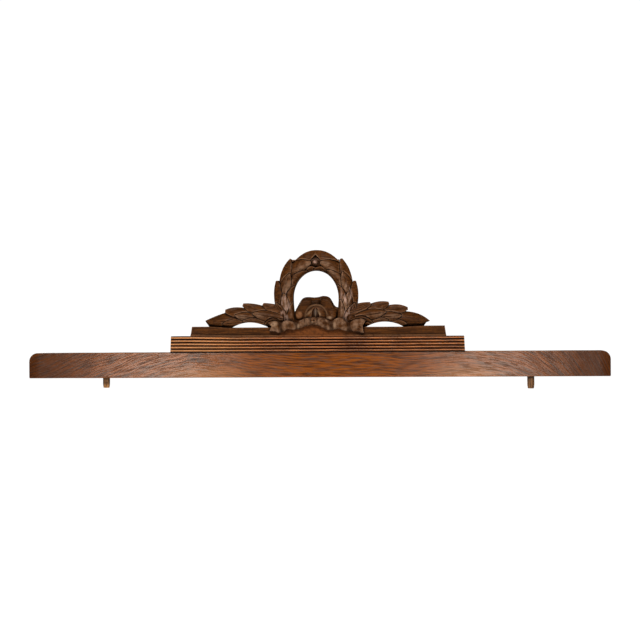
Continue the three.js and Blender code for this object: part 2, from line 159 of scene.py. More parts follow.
soft_box(
    "left_soft_box",
    place=(-0.735, -2.3, -0.16),
    target=(-0.1, 0, 0.05),
    width=0.38,
    height=FRONT_BOX_HEIGHT,
    power=5.1,
)
soft_box(
    "right_soft_box",
    place=(0.527, -2.3, -0.16),
    target=(0.1, 0, 0.05),
    width=0.32,
    height=FRONT_BOX_HEIGHT,
    power=4.6,
)
soft_box("upper_soft_box", place=(0.0, -1.8, 1.5), target=CREST_MIDDLE, width=1.5, height=0.6, power=50)
soft_box("back_soft_box", place=(-1.4, 1.7, 0.6), target=CREST_MIDDLE, width=0.8, height=0.8, power=9)

# The oak of all pieces
# Waxed oak. Long dark and light streaks follow the grain, with short open pores between them, and the
# corners are rubbed pale. Every recess is painted dark, partly as old polish and dust and partly as shade.
RING_WIDTH = 0.0048
RING_BEND = 5.0
RUBBED_REACH = 0.0025
RUBBED_SHARE = 0.55
PORE_SHARE = 0.55
PORE_ROUGHNESS = 0.13
GRAIN_BUMP = 0.35
GRAIN_DEPTH = 0.00006


def reckon(tree, operation, *values):
    """The result of a Math node, each value a number or a socket."""
    return add(tree, "Math", dict(enumerate(values)), operation=operation).outputs[0]


def coordinates(tree, spot):
    """The three parts of a place: along the rail, depth and height."""
    return tuple(add(tree, "SeparateXYZ", {0: spot}).outputs)


def product(tree, share, *others):
    """Several shares, each from 0 to 1, multiplied with each other."""
    for other in others:
        share = reckon(tree, "MULTIPLY", share, other)
    return share


def scaled(tree, spot, factors):
    """A place with each of its three parts multiplied."""
    return add(tree, "VectorMath", {0: spot, 1: factors}, operation="MULTIPLY").outputs[0]


def clouds(tree, spot, scale, detail, roughness=0.5):
    """A soft random pattern."""
    fed = {"Vector": spot, "Scale": scale, "Detail": detail, "Roughness": roughness}
    return add(tree, "TexNoise", fed).outputs["Fac"]


def shader_group(name, takes, gives):
    """An empty node group with its input and output sockets, and its two ends."""
    group = bpy.data.node_groups.new(name, "ShaderNodeTree")
    for socket, kind, start in takes:
        made = group.interface.new_socket(socket, in_out="INPUT", socket_type="NodeSocket" + kind)
        if start is not None:
            made.default_value = start
    for socket, kind in gives:
        group.interface.new_socket(socket, in_out="OUTPUT", socket_type="NodeSocket" + kind)
    return group, group.nodes.new("NodeGroupInput"), group.nodes.new("NodeGroupOutput")


def oak_grain_group():
    """Streaks and pores of oak whose grain runs along X of the vector it is given, in metres."""
    group, takes, gives = shader_group(
        "oak_grain",
        [("Vector", "Vector", None)],
        [("Streaks", "Float"), ("Pores", "Float"), ("Clouds", "Float"), ("Rings", "Float")],
    )
    place = takes.outputs["Vector"]

    def stretched(along, across, detail, roughness=0.5):
        return clouds(group, scaled(group, place, (along, across, across)), 1.0, detail, roughness)

    broad = stretched(9, 110, 3, 0.6)
    narrow = stretched(28, 430, 1.5, 0.6)
    mixed = add(group, "Mix", {0: 0.9, 2: broad, 3: narrow}, data_type="FLOAT").outputs[0]
    height = coordinates(group, place)[2]
    ring_place = reckon(group, "MULTIPLY", height, 1 / RING_WIDTH)
    bent = reckon(group, "MULTIPLY_ADD", stretched(3, 26, 2), RING_BEND, ring_place)
    ring = ramp(group, reckon(group, "PINGPONG", bent, 0.5), 0.26, 0.42)
    broken = ramp(group, narrow, 0.62, 0.4)
    given = {
        "Streaks": ramp(group, mixed, 0.38, 0.56),
        "Pores": ramp(group, stretched(42, 520, 1), 0.52, 0.6),
        "Clouds": stretched(7, 14, 2),
        "Rings": reckon(group, "MULTIPLY", ring, broken),
    }
    for socket, value in given.items():
        group.links.new(value, gives.inputs[socket])
    return group


def rubbed_group():
    """Where hands have rubbed a corner, and where a recess is painted dark, partly as dirt and partly as
    shade.
    """
    group, takes, gives = shader_group(
        "rubbed_dirt_and_shade",
        [("Corner", "Float", 0.002), ("Recess", "Float", 0.012)],
        [("Rubbed", "Float"), ("Dirt_and_Shade", "Float")],
    )
    inner = add(group, "AmbientOcclusion", {"Distance": takes.outputs["Corner"]}, inside=True, samples=6)
    outer = add(group, "AmbientOcclusion", {"Distance": takes.outputs["Recess"]}, samples=8)
    group.links.new(ramp(group, inner.outputs["AO"], 0.97, 0.6), gives.inputs["Rubbed"])
    group.links.new(ramp(group, outer.outputs["AO"], 0.97, 0.5), gives.inputs["Dirt_and_Shade"])
    return group


oak_grain = oak_grain_group()
rubbed_dirt_and_shade = rubbed_group()


def mixed_tone(tree, share, first, second):
    """The colour between first and second, by share."""
    return add(tree, "Mix", {0: share, 6: first, 7: second}, data_type="RGBA").outputs[2]


def oak(
    name,
    light,
    middle,
    dark,
    dirt_and_shade,
    worn,
    grain_place,
    roughness,
    recess=0.012,
    shine=0.5,
    rings=0.0,
    washes=(),
):
    """Waxed oak in three tones. grain_place(tree, object coordinates) lays the grain, and each wash is a
    pair of where(tree, object coordinates), from 0 to 1, and the colour that is laid there."""
    material = bpy.data.materials.new(name)
    material.use_nodes = True
    tree = material.node_tree
    shader = tree.nodes["Principled BSDF"]
    spot = add(tree, "TexCoord").outputs["Object"]
    grain = add(tree, "Group", node_tree=oak_grain)
    tree.links.new(grain_place(tree, spot), grain.inputs["Vector"])
    streaks, pores = grain.outputs["Streaks"], grain.outputs["Pores"]
    wear_and_shade = add(tree, "Group", {"Corner": RUBBED_REACH, "Recess": recess}, node_tree=rubbed_dirt_and_shade)
    ground = mixed_tone(tree, grain.outputs["Clouds"], middle, light)
    wood = mixed_tone(tree, streaks, dark, ground)
    wood = mixed_tone(tree, reckon(tree, "MULTIPLY", pores, PORE_SHARE), wood, dark)
    wood = mixed_tone(tree, reckon(tree, "MULTIPLY", grain.outputs["Rings"], rings), wood, dark)
    rubbed = reckon(tree, "MULTIPLY", wear_and_shade.outputs["Rubbed"], RUBBED_SHARE)
    wood = mixed_tone(tree, rubbed, wood, worn)
    # Every recess takes the darkest colour: painted shade mixed with old polish and dust.
    wood = mixed_tone(tree, wear_and_shade.outputs["Dirt_and_Shade"], wood, dirt_and_shade)
    for where, colour in washes:
        wood = mixed_tone(tree, where(tree, spot), wood, colour)
    tree.links.new(wood, shader.inputs["Base Color"])
    shader.inputs["Specular IOR Level"].default_value = shine
    height = reckon(tree, "SUBTRACT", streaks, pores)
    bump = add(tree, "Bump", {"Height": height, "Strength": GRAIN_BUMP, "Distance": GRAIN_DEPTH})
    tree.links.new(bump.outputs[0], shader.inputs["Normal"])
    spread = ramp(tree, pores, 0, 1, roughness, roughness + PORE_ROUGHNESS)
    tree.links.new(spread, shader.inputs["Roughness"])
    return material


def straight_grain(tree, spot):
    """Grain that runs straight along the board."""
    return spot


# The bottom rail
# One long oak board, planed by hand, with its two upper corners sawn round. Its lower front edge has
# lost a splinter at the left peg. Two holes are bored into its underside for the pegs.
RAIL_LOW, RAIL_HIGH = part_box("bottom_rail")
RAIL_CORNER = 0.017
RAIL_FOOT_CORNER = 0.002
RAIL_ARRIS = 0.0009
ARRIS_SLICE = 0.0012
FIRST_SLICE = -0.558
SLICE_STEP = 0.0124
SLICE_COUNT = 91
FOOT_SLICE = 0.0024
HEIGHT_STEP = 0.008
PLANING = 0.00022
PLANING_SIZE = 0.05
WEAR_SEED = 5
PEG_SPACING = 0.85
PEG_RADIUS = 0.007
HOLE_PLAY = 0.0002
HOLE_LENGTH = 0.0266
HOLE_MIDDLE = 0.012
CHIP_PLACE = (-0.421, -0.0125, 0.0)
CHIP_HALF_SIZES = (0.0115, 0.0022, 0.0032)
SAME = 1e-6


def only(piece):
    """Makes piece the one selected and active object."""
    if bpy.context.mode != "OBJECT":
        bpy.ops.object.mode_set(mode="OBJECT")
    bpy.ops.object.select_all(action="DESELECT")
    piece.select_set(True)
    bpy.context.view_layer.objects.active = piece


def apply_modifier(piece, kind, **settings):
    """Adds a modifier with its settings and applies it."""
    only(piece)
    modifier = piece.modifiers.new(kind.lower(), kind)
    for name, value in settings.items():
        setattr(modifier, name, value)
    bpy.ops.object.modifier_apply(modifier=modifier.name)


def block(name, low, high):
    """A plain block between two corners, to be shaped further."""
    piece = shape(bpy.ops.mesh.primitive_cube_add, name, size=1)
    for vertex in piece.data.vertices:
        for axis in range(3):
            vertex.co[axis] = high[axis] if vertex.co[axis] > 0 else low[axis]
    return piece


def select_edges(piece, chosen):
    """Selects the edges of piece for which chosen(first end, second end) holds, and enters edit mode."""
    only(piece)
    bpy.ops.object.mode_set(mode="EDIT")
    bpy.ops.mesh.select_mode(type="EDGE")
    bpy.ops.mesh.select_all(action="DESELECT")
    bpy.ops.object.mode_set(mode="OBJECT")
    points = piece.data.vertices
    for edge in piece.data.edges:
        edge.select = chosen(points[edge.vertices[0]].co, points[edge.vertices[1]].co)
    bpy.ops.object.mode_set(mode="EDIT")


def slice_along(piece, axis, places):
    """Cuts piece across at each of the places along an axis."""
    only(piece)
    bpy.ops.object.mode_set(mode="EDIT")
    normal = [0, 0, 0]
    normal[axis] = 1
    for place in places:
        point = [0, 0, 0]
        point[axis] = place
        bpy.ops.mesh.select_all(action="SELECT")
        bpy.ops.mesh.bisect(plane_co=point, plane_no=normal)
    bpy.ops.object.mode_set(mode="OBJECT")


def cut(piece, tool):
    """Cuts the shape of tool out of piece and removes tool."""
    apply_modifier(piece, "BOOLEAN", operation="DIFFERENCE", object=tool, solver="MANIFOLD")
    bpy.data.objects.remove(tool)


noise.seed_set(WEAR_SEED)


def hand_worn(piece, depth, size):
    """Moves each point a little, so that no face is quite flat and no edge quite straight."""
    for vertex in piece.data.vertices:
        vertex.co += noise.noise_vector(vertex.co / size) * depth


def finish(piece, material, slot, *nodes, angle=38):
    """Gives a finished piece its shading, material and place on the part."""
    only(piece)
    bpy.ops.object.shade_smooth_by_angle(angle=math.radians(angle))
    piece.data.materials.clear()
    piece.data.materials.append(material)
    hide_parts(*nodes)
    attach(piece, "root")


def upper_corner(first, second):
    """The edges that run from front to back along the top of the board's ends."""
    in_depth = abs(first.x - second.x) < SAME and abs(first.z - second.z) < SAME
    return in_depth and first.z > RAIL_CORNER


def end_foot(first, second):
    """The edges along the foot of the board's ends."""
    return abs(first.x - second.x) < SAME and max(first.z, second.z) < RAIL_CORNER


rail = block("oak_rail", RAIL_LOW, RAIL_HIGH)
select_edges(rail, upper_corner)
bpy.ops.mesh.bevel(offset=RAIL_CORNER, segments=12)
select_edges(rail, end_foot)
bpy.ops.mesh.bevel(offset=RAIL_FOOT_CORNER, segments=4)
bpy.ops.object.mode_set(mode="OBJECT")
sharp = math.radians(60)
apply_modifier(rail, "BEVEL", width=RAIL_ARRIS, segments=3, limit_method="ANGLE", angle_limit=sharp)
slice_along(rail, 0, [FIRST_SLICE + SLICE_STEP * step for step in range(SLICE_COUNT)])
height_slices = [HEIGHT_STEP * step for step in range(1, 6)]
slice_along(rail, 2, [FOOT_SLICE, *height_slices, RAIL_HIGH.z - ARRIS_SLICE])
slice_along(rail, 1, [RAIL_LOW.y + ARRIS_SLICE, RAIL_HIGH.y - ARRIS_SLICE])
hand_worn(rail, PLANING, PLANING_SIZE)

for side in (-1, 1):
    place = (side * PEG_SPACING / 2, 0, HOLE_MIDDLE)
    bore = dict(vertices=48, radius=PEG_RADIUS + HOLE_PLAY, depth=HOLE_LENGTH, location=place)
    cut(rail, shape(bpy.ops.mesh.primitive_cylinder_add, "bore", **bore))

chip = shape(bpy.ops.mesh.primitive_ico_sphere_add, "chip", subdivisions=4, radius=1, location=CHIP_PLACE)
chip.scale = CHIP_HALF_SIZES
bpy.ops.object.transform_apply()
hand_worn(chip, 0.0012, 0.004)
cut(rail, chip)

# Its grain and colours: where the grain turns, where the board is dark or knotty, and where it is painted
# pale as a highlight
LEFT_TURN = -0.25
LEFT_CLIMB = 0.42
LEFT_CLIMB_LENGTH = 0.08
MIDDLE_FALL = 0.02
MIDDLE_FALL_END = -0.03
RIGHT_TURN = 0.26
RIGHT_FAN = 9.0
RIGHT_FAN_POWER = 3.2
GRAIN_WANDER = 0.014
DARK_ENDS = (0.37, 0.57)
SHEEN_ZONES = ((-0.225, 0.13), (0.3, 0.1))
KNOT_STRETCH = (1, 0, 1.7)
KNOT_PLACE = (-0.243, 0, 0.064)


def rail_grain(tree, spot):
    """Grain that climbs to the right in the left third, and fans downwards towards the right end."""
    along, depth, height = coordinates(tree, spot)
    past_left = reckon(tree, "MAXIMUM", reckon(tree, "SUBTRACT", LEFT_TURN, along), 0.0)
    squared = reckon(tree, "MULTIPLY", past_left, past_left)
    climb = reckon(tree, "DIVIDE", squared, reckon(tree, "ADD", past_left, LEFT_CLIMB_LENGTH))
    fall = ramp(tree, along, LEFT_TURN, MIDDLE_FALL_END, 0, MIDDLE_FALL, soft=True)
    lift = reckon(tree, "MULTIPLY_ADD", climb, LEFT_CLIMB, fall)
    past_right = reckon(tree, "MAXIMUM", reckon(tree, "SUBTRACT", along, RIGHT_TURN), 0.0)
    fan = reckon(tree, "POWER", past_right, RIGHT_FAN_POWER)
    lift = reckon(tree, "MULTIPLY_ADD", fan, RIGHT_FAN, lift)
    lift = reckon(tree, "MULTIPLY_ADD", clouds(tree, spot, 9.0, 2.0), GRAIN_WANDER, lift)
    raised = reckon(tree, "ADD", height, lift)
    return add(tree, "CombineXYZ", {"X": along, "Y": depth, "Z": raised}).outputs[0]


def dark_ends(tree, spot):
    """The rail is darker towards both ends."""
    reach = reckon(tree, "ABSOLUTE", coordinates(tree, spot)[0])
    return ramp(tree, reach, *DARK_ENDS, 0, 0.68, soft=True)


def apart_from(tree, value, middle):
    """How far value is from middle."""
    return reckon(tree, "ABSOLUTE", reckon(tree, "SUBTRACT", value, middle))


def distance(tree, spot, place):
    """How far spot is from place."""
    return add(tree, "VectorMath", {0: spot, 1: place}, operation="DISTANCE").outputs["Value"]


def painted_sheen_zones(tree, spot):
    """Painted highlight: the rail is painted paler where the soft boxes' reflections lie, left and right of
    its middle, and most so along its lower edge, which is painted as catching light."""
    along, _, height = coordinates(tree, spot)
    left, right = [
        ramp(tree, apart_from(tree, along, middle), half_length, 0.01, soft=True)
        for middle, half_length in SHEEN_ZONES
    ]
    low = ramp(tree, height, 0.03, 0.004, 0.06, 0.4, soft=True)
    return product(tree, reckon(tree, "MAXIMUM", left, right), low)


def knot_marks(tree, spot):
    """A cluster of small dark knots left of the block's foot."""
    apart = distance(tree, scaled(tree, spot, KNOT_STRETCH), KNOT_PLACE)
    specks = ramp(tree, clouds(tree, spot, 260.0, 1.0), 0.45, 0.6)
    return product(tree, ramp(tree, apart, 0.024, 0.004), specks)


rail_oak = oak(
    "rail_oak",
    light=tone(152, 83, 17),
    middle=tone(130, 65, 8),
    dark=tone(75, 37, 7),
    dirt_and_shade=tone(46, 24, 14),
    worn=tone(178, 120, 74),
    grain_place=rail_grain,
    roughness=0.2,
    shine=0.44,
    rings=0.6,
    washes=[
        # painted highlight of the soft boxes' reflections and of light on the lower edge
        (painted_sheen_zones, tone(186, 124, 68)),
        (dark_ends, tone(46, 24, 14)),
        (knot_marks, tone(50, 28, 20)),
    ],
)
finish(rail, rail_oak, "rail_oak", "bottom_rail")

# The pegs
# Two round dowels of paler wood, glued in the rail's holes and whittled at their lower ends. The left
# one has split at its end and shows fresh wood.
PEG_FOOT_SHARE = 0.86
PEG_FOOT_LENGTH = 0.008
PEG_FOOT_ARRIS = 0.0008
PEG_FIRST_SLICE = 0.001
PEG_SLICE_STEP = 0.0022
SPLIT_SIZE = 0.02
SPLIT_DEPTH = -0.0142
SPLIT_TURN = (0.14, 0, 0.05)


def peg(name, node, foot_split):
    """A dowel in the place of its node, tapered at its foot, and split there or not."""
    low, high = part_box(node)
    middle = (low + high) / 2
    dowel = dict(vertices=40, radius=PEG_RADIUS, depth=high.z - low.z, location=middle)
    piece = shape(bpy.ops.mesh.primitive_cylinder_add, name, **dowel)
    bpy.ops.object.transform_apply()
    slice_along(piece, 2, [low.z + PEG_FIRST_SLICE + PEG_SLICE_STEP * step for step in range(12)])
    for vertex in piece.data.vertices:
        share = (vertex.co.z - low.z) / PEG_FOOT_LENGTH
        taper = min(1, PEG_FOOT_SHARE + share * (1 - PEG_FOOT_SHARE))
        vertex.co.x = middle.x + (vertex.co.x - middle.x) * taper
        vertex.co.y = middle.y + (vertex.co.y - middle.y) * taper
    select_edges(piece, lambda first, second: max(first.z, second.z) < low.z + 1e-5)
    bpy.ops.mesh.bevel(offset=PEG_FOOT_ARRIS, segments=3)
    bpy.ops.object.mode_set(mode="OBJECT")
    hand_worn(piece, 0.00018, 0.004)
    if foot_split:
        wedge = dict(size=SPLIT_SIZE, location=(middle.x, SPLIT_DEPTH, low.z + 0.001), rotation=SPLIT_TURN)
        split = shape(bpy.ops.mesh.primitive_cube_add, "split", **wedge)
        bpy.ops.object.transform_apply()
        cut(piece, split)
    return piece


def upright_grain(tree, spot):
    """Grain that runs along the peg."""
    along, depth, height = coordinates(tree, spot)
    return add(tree, "CombineXYZ", {"X": height, "Y": depth, "Z": along}).outputs[0]


def soiled_band(tree, spot):
    """A dark band round the left peg, between its clean root and its freshly broken end."""
    height = coordinates(tree, spot)[2]
    below = ramp(tree, height, -0.0032, -0.0055)
    return product(tree, below, ramp(tree, height, -0.014, -0.0125, 0, 0.75))


left_peg_wood = oak(
    "left_peg_wood",
    light=tone(196, 142, 84),
    middle=tone(160, 108, 60),
    dark=tone(90, 58, 30),
    dirt_and_shade=tone(50, 30, 16),
    worn=tone(206, 158, 104),
    grain_place=upright_grain,
    roughness=0.7,
    washes=[(soiled_band, tone(84, 54, 26))],
)
right_peg_wood = oak(
    "right_peg_wood",
    light=tone(150, 108, 66),
    middle=tone(120, 82, 48),
    dark=tone(70, 44, 26),
    dirt_and_shade=tone(40, 24, 14),
    worn=tone(160, 120, 80),
    grain_place=upright_grain,
    roughness=0.7,
)
finish(peg("left_dowel", "left_peg", True), left_peg_wood, "left_peg_wood", "left_peg")
finish(peg("right_dowel", "right_peg", False), right_peg_wood, "right_peg_wood", "right_peg")

# The reeded block
# An oak moulding with five reeds run along its face, glued on the rail. Its ends are sawn slightly out of
# square. The reeds' crests are rubbed pale and painted paler as highlights, brightest at the left end, over
# grooves painted nearly black, partly as old polish and partly as shade.
BLOCK_LOW, BLOCK_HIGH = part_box("reeded_block")
BLOCK_END_SLOPE = 0.05
BLOCK_WEAR = 0.00012
REED_COUNT = 5
REED_DEPTH = 0.0029
REED_FULLNESS = 0.75
GROOVE_SHARE = 0.02
CREST_HIGHLIGHT = (0.0012, 0.0002)
GROOVE_SHADE = (0.0003, 0.0011)
FACE_END = (0.006, 0.004)
HIGHLIGHT_END = (-0.08, -0.24)
DARK_PATCH = 0.078


def carved(name, columns, rows, surface, back):
    """A flat grid carved to the front surface(u, v), u and v from -1 to 1, in millimetres.

    Its rim is cut straight back to the depth back, so that it is a closed block."""
    grid = dict(x_subdivisions=columns, y_subdivisions=rows, size=2)
    piece = shape(bpy.ops.mesh.primitive_grid_add, name, **grid)
    for vertex in piece.data.vertices:
        vertex.co = Vector(surface(vertex.co.x, vertex.co.y)) * MM
    bpy.ops.object.mode_set(mode="EDIT")
    bpy.ops.mesh.select_all(action="SELECT")
    bpy.ops.mesh.extrude_region()
    bpy.ops.object.mode_set(mode="OBJECT")
    for vertex in piece.data.vertices:
        if vertex.select:
            vertex.co.y = back * MM
    bpy.ops.object.mode_set(mode="EDIT")
    bpy.ops.mesh.select_all(action="SELECT")
    bpy.ops.mesh.normals_make_consistent(inside=False)
    bpy.ops.object.mode_set(mode="OBJECT")
    return piece


def held(value):
    """value, kept between 0 and 1."""
    return min(max(value, 0.0), 1.0)


def rising(value, near, far):
    """0 up to near, 1 from far on, and a soft rise between them."""
    share = held((value - near) / (far - near))
    return share * share * (3 - 2 * share)


def level(x):
    """For an edge that runs straight and level."""
    return 0


def moulding(name, low, high, slope, columns, rows, profile, foot_lift, top_lift):
    """A run moulding between two corners, in metres, whose ends lean inwards by slope.

    Each lift is how far its lower or upper edge stands above its level at x, in millimetres."""
    low, high = low / MM, high / MM

    def surface(u, v):
        share = (v + 1) / 2
        z = low.z + (high.z - low.z) * share
        half = (high.x - low.x) / 2 - slope * (z - low.z)
        x = (low.x + high.x) / 2 + u * half
        return x, profile(z), z + foot_lift(x) * (1 - share) + top_lift(x) * share

    return carved(name, columns, rows, surface, high.y)


def reeds(z):
    """The depth of the reeded face at height z, in millimetres."""
    pitch = (BLOCK_HIGH.z - BLOCK_LOW.z) / MM / REED_COUNT
    share = max(0.0, z - BLOCK_LOW.z / MM) / pitch % 1
    share = min(max(share, GROOVE_SHARE), 1 - GROOVE_SHARE)
    return BLOCK_LOW.y / MM + REED_DEPTH / MM * (1 - math.sin(math.pi * share) ** REED_FULLNESS)


def block_lift(x):
    """The moulding is a little higher at its left end."""
    return 1.9 * rising(-x, 140, 270)


block_low = Vector((BLOCK_LOW.x, BLOCK_LOW.y, RAIL_HIGH.z))
reeded = moulding(
    "reeded_moulding", block_low, BLOCK_HIGH, BLOCK_END_SLOPE, 120, 80, reeds, level, block_lift
)
hand_worn(reeded, BLOCK_WEAR, 0.03)


def behind_crests(tree, spot, near, far):
    """0 at the depth near behind the reeds' crests, and 1 at the depth far."""
    return ramp(tree, coordinates(tree, spot)[1], BLOCK_LOW.y + near, BLOCK_LOW.y + far)


def bright_end(tree, spot):
    """Painted highlight: the left end of the reeds' crests is painted palest."""
    end = ramp(tree, coordinates(tree, spot)[0], *HIGHLIGHT_END, 0, 0.38, soft=True)
    return product(tree, behind_crests(tree, spot, *CREST_HIGHLIGHT), end)


def groove_shade_and_dirt(tree, spot):
    """Painted shade, with old polish and dirt, darkens the grooves between the reeds, well up their flanks.
    """
    deep = behind_crests(tree, spot, *GROOVE_SHADE)
    return product(tree, deep, behind_crests(tree, spot, *FACE_END), 0.97)


def dark_patch(tree, spot):
    """A dark patch in the wood, right of the middle."""
    apart = apart_from(tree, coordinates(tree, spot)[0], DARK_PATCH)
    return ramp(tree, apart, 0.045, 0.008, 0, 0.5, soft=True)


block_oak = oak(
    "block_oak",
    light=tone(178, 104, 50),
    middle=tone(152, 81, 33),
    dark=tone(92, 42, 12),
    dirt_and_shade=tone(10, 1, 0),
    # The worn tone is also painted pale enough to stand for the crests' highlights.
    worn=tone(228, 168, 112),
    grain_place=straight_grain,
    roughness=0.22,
    recess=0.0065,
    shine=0.2,
    washes=[
        # painted highlight on the left end of the crests
        (bright_end, tone(232, 168, 110)),
        # painted shade and old polish in the grooves
        (groove_shade_and_dirt, tone(26, 4, 0)),
        (dark_patch, tone(44, 18, 6)),
    ],
)
finish(reeded, block_oak, "block_oak", "reeded_block", angle=60)

# The crest's plinth
# The carved crest is one oak board. Its foot is a plain band with a fillet along its lower edge and a
# low rise of ground in the middle. It stands glued on the reeded block.
CREST_LOW, CREST_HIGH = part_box("carved_crest")
BACK = CREST_HIGH.y / MM
PLINTH_TOP = 99.9
PLINTH_FRONT = -12.6
PLINTH_SLOPE = 0.16
FILLET_DEPTH = 2.0
FILLET_TOP = 84.5
COVE_HEIGHT = 0.7
NOTCH_ABOVE_FILLET = 0.9
NOTCH_DEPTH = 0.3
NOTCH_WIDTH = 0.5
ARRIS_HEIGHT = 1.6
ARRIS_ROUNDING = 0.6
GROUND_HALF_WIDTH = 75
GROUND_RISE = 6
GROUND_SUNK = 4
SET_BACK = 0.03
THINNEST = 0.01


def bell(value, width):
    """1 where value is 0, and soft slopes down to nothing on both sides."""
    return math.exp(-((value / width) ** 2))


def plinth_face(z):
    """The depth of the plinth's face at height z: fillet, small cove, flat band and rubbed upper edge."""
    cove = held((z - FILLET_TOP) / COVE_HEIGHT)
    notch = NOTCH_DEPTH * bell(z - FILLET_TOP - NOTCH_ABOVE_FILLET, NOTCH_WIDTH)
    arris = max(0.0, z - (PLINTH_TOP - ARRIS_HEIGHT)) ** 2 * ARRIS_ROUNDING
    return PLINTH_FRONT - FILLET_DEPTH * (1 - cove) + notch + arris


def plinth_lift(x):
    """The plinth's upper edge rises a little outside the branches."""
    return 2.1 * rising(-x, 165, 220) + 1.7 * rising(x, 168, 222)


crest = moulding(
    "carved_crest_front",
    low=Vector((CREST_LOW.x, 0, BLOCK_HIGH.z)),
    high=Vector((CREST_HIGH.x, CREST_HIGH.y, PLINTH_TOP * MM)),
    slope=PLINTH_SLOPE,
    columns=110,
    rows=44,
    profile=plinth_face,
    foot_lift=block_lift,
    top_lift=plinth_lift,
)


def rise_surface(u, v):
    """The front of the low rise of ground, a flat arch with its foot sunk in the plinth."""
    x = u * GROUND_HALF_WIDTH
    top = PLINTH_TOP + GROUND_RISE * math.sqrt(max(0.0, 1 - u * u)) + THINNEST
    z = PLINTH_TOP - GROUND_SUNK + (top - PLINTH_TOP + GROUND_SUNK) * (v + 1) / 2
    return x, PLINTH_FRONT + SET_BACK, z


carvings = [carved("ground_rise", 60, 4, rise_surface, BACK)]

# The crest's wreath
# An open ring of laurel, carved through the board. Each leaf has a midrib and two facets. The leaves
# lie over each other like shingles, point upwards, and meet at the top round a small berry.
WREATH_HALF_WIDTH = 83
WREATH_CENTRE = 162
WREATH_RISE = 91.7
LEAF_STEP = 6
CORE_HALF_WIDTH = WREATH_HALF_WIDTH - LEAF_STEP
CORE_RISE = WREATH_RISE - LEAF_STEP
EYE_HALF_WIDTH = 45.3
EYE_CENTRE = 158.2
EYE_RISE = 54.5
EYE_TOOL_LENGTH = 0.12
FOOT_ANGLE = 2.16
FOOT_PINCH = 6
LEG_HEIGHT = 51
WREATH_EDGE_DEPTH = 7
WREATH_CROWN = 10
CORE_SINK = 3
GROOVE_WIDTH = 1.5
GROOVE_DEPTH = 1.3
GROOVE_FRONT = -60
LEAF_SINK = 2.5
LEAF_WIDEST = 0.5
LEAF_BASE_TAPER = 0.6
LEAF_TIP_POWER = 2.2
LEAF_CURL = 1.3
LEAF_BELLY = 0.5
LEAF_ROWS_CROWD = 1.5
LEAF_FOLLOWS_GROUND = 0.85
RIM_DROP = 0.4
RIM_START = 0.9
RIM_WIDTH = 0.1
VEIN_WIDTH = 0.12
TWO_VEINS = (-0.35, 0.35)
CROWN_FOOT = [(0, 244.5), (11, 233), (29, 229), (46, 226), (48, 224)]
CROWN_HALF_WIDTH = 47
CROWN_TOP = 253.5
CROWN_TOP_AT = 0.04
CROWN_DROP = 24.5
CROWN_LARGEST_DROP = 19
CROWN_FOOT_DEPTH = -15.5
CROWN_LEAN = 6.5
BERRY_PLACE = (-0.5, -16.5, 228.5)
BERRY_HALF_SIZES = (6, 7, 4.4)


def between(first, second, share):
    """The value that lies at share of the way from first to second."""
    return first + (second - first) * share


def arched(share):
    """0 at both ends of a share from 0 to 1, and a round rise to 1 in its middle."""
    return 1 - (2 * share - 1) ** 2


def tooled(x, z, layer, size):
    """The unevenness that a chisel leaves, different in each layer."""
    return noise.noise(Vector((x, z, layer)) / size)


def wreath_place(side, angle, across):
    """The point of the wreath's core at an angle from its top, across from its inner to its outer edge."""
    drop = math.cos(angle)
    leg = max(0.0, drop / math.cos(FOOT_ANGLE))
    if drop > 0:
        inner = (EYE_HALF_WIDTH * math.sin(angle), EYE_CENTRE + EYE_RISE * drop)
    else:
        inner = (EYE_HALF_WIDTH - FOOT_PINCH * leg * leg, EYE_CENTRE + WREATH_RISE * drop)
    outer = (CORE_HALF_WIDTH * math.sin(angle), WREATH_CENTRE + CORE_RISE * drop)
    depth = CORE_SINK - WREATH_EDGE_DEPTH - WREATH_CROWN * arched(across)
    return side * between(inner[0], outer[0], across), depth, between(inner[1], outer[1], across)


def wreath_depth(x, z):
    """The depth of the wreath's ground behind a point of its front view."""
    if z > EYE_CENTRE:
        inner = math.hypot(x / EYE_HALF_WIDTH, (z - EYE_CENTRE) / EYE_RISE)
    else:
        leg = min(1.0, (EYE_CENTRE - z) / LEG_HEIGHT)
        inner = abs(x) / (EYE_HALF_WIDTH - FOOT_PINCH * leg * leg)
    reach = math.hypot(x / CORE_HALF_WIDTH, (z - WREATH_CENTRE) / CORE_RISE)
    past, left = max(0.0, inner - 1), max(0.0, 1 - reach)
    across = past / (past + left) if past + left > 0 else 0
    return -WREATH_EDGE_DEPTH - WREATH_CROWN * arched(across)


def unite(piece, others):
    """Joins other closed pieces to piece and removes them."""
    group = bpy.data.collections.new("to_join")
    bpy.context.scene.collection.children.link(group)
    for other in others:
        group.objects.link(other)
    settings = dict(operation="UNION", operand_type="COLLECTION", collection=group, solver="MANIFOLD")
    apply_modifier(piece, "BOOLEAN", **settings)
    for other in others:
        bpy.data.objects.remove(other)
    bpy.data.collections.remove(group)


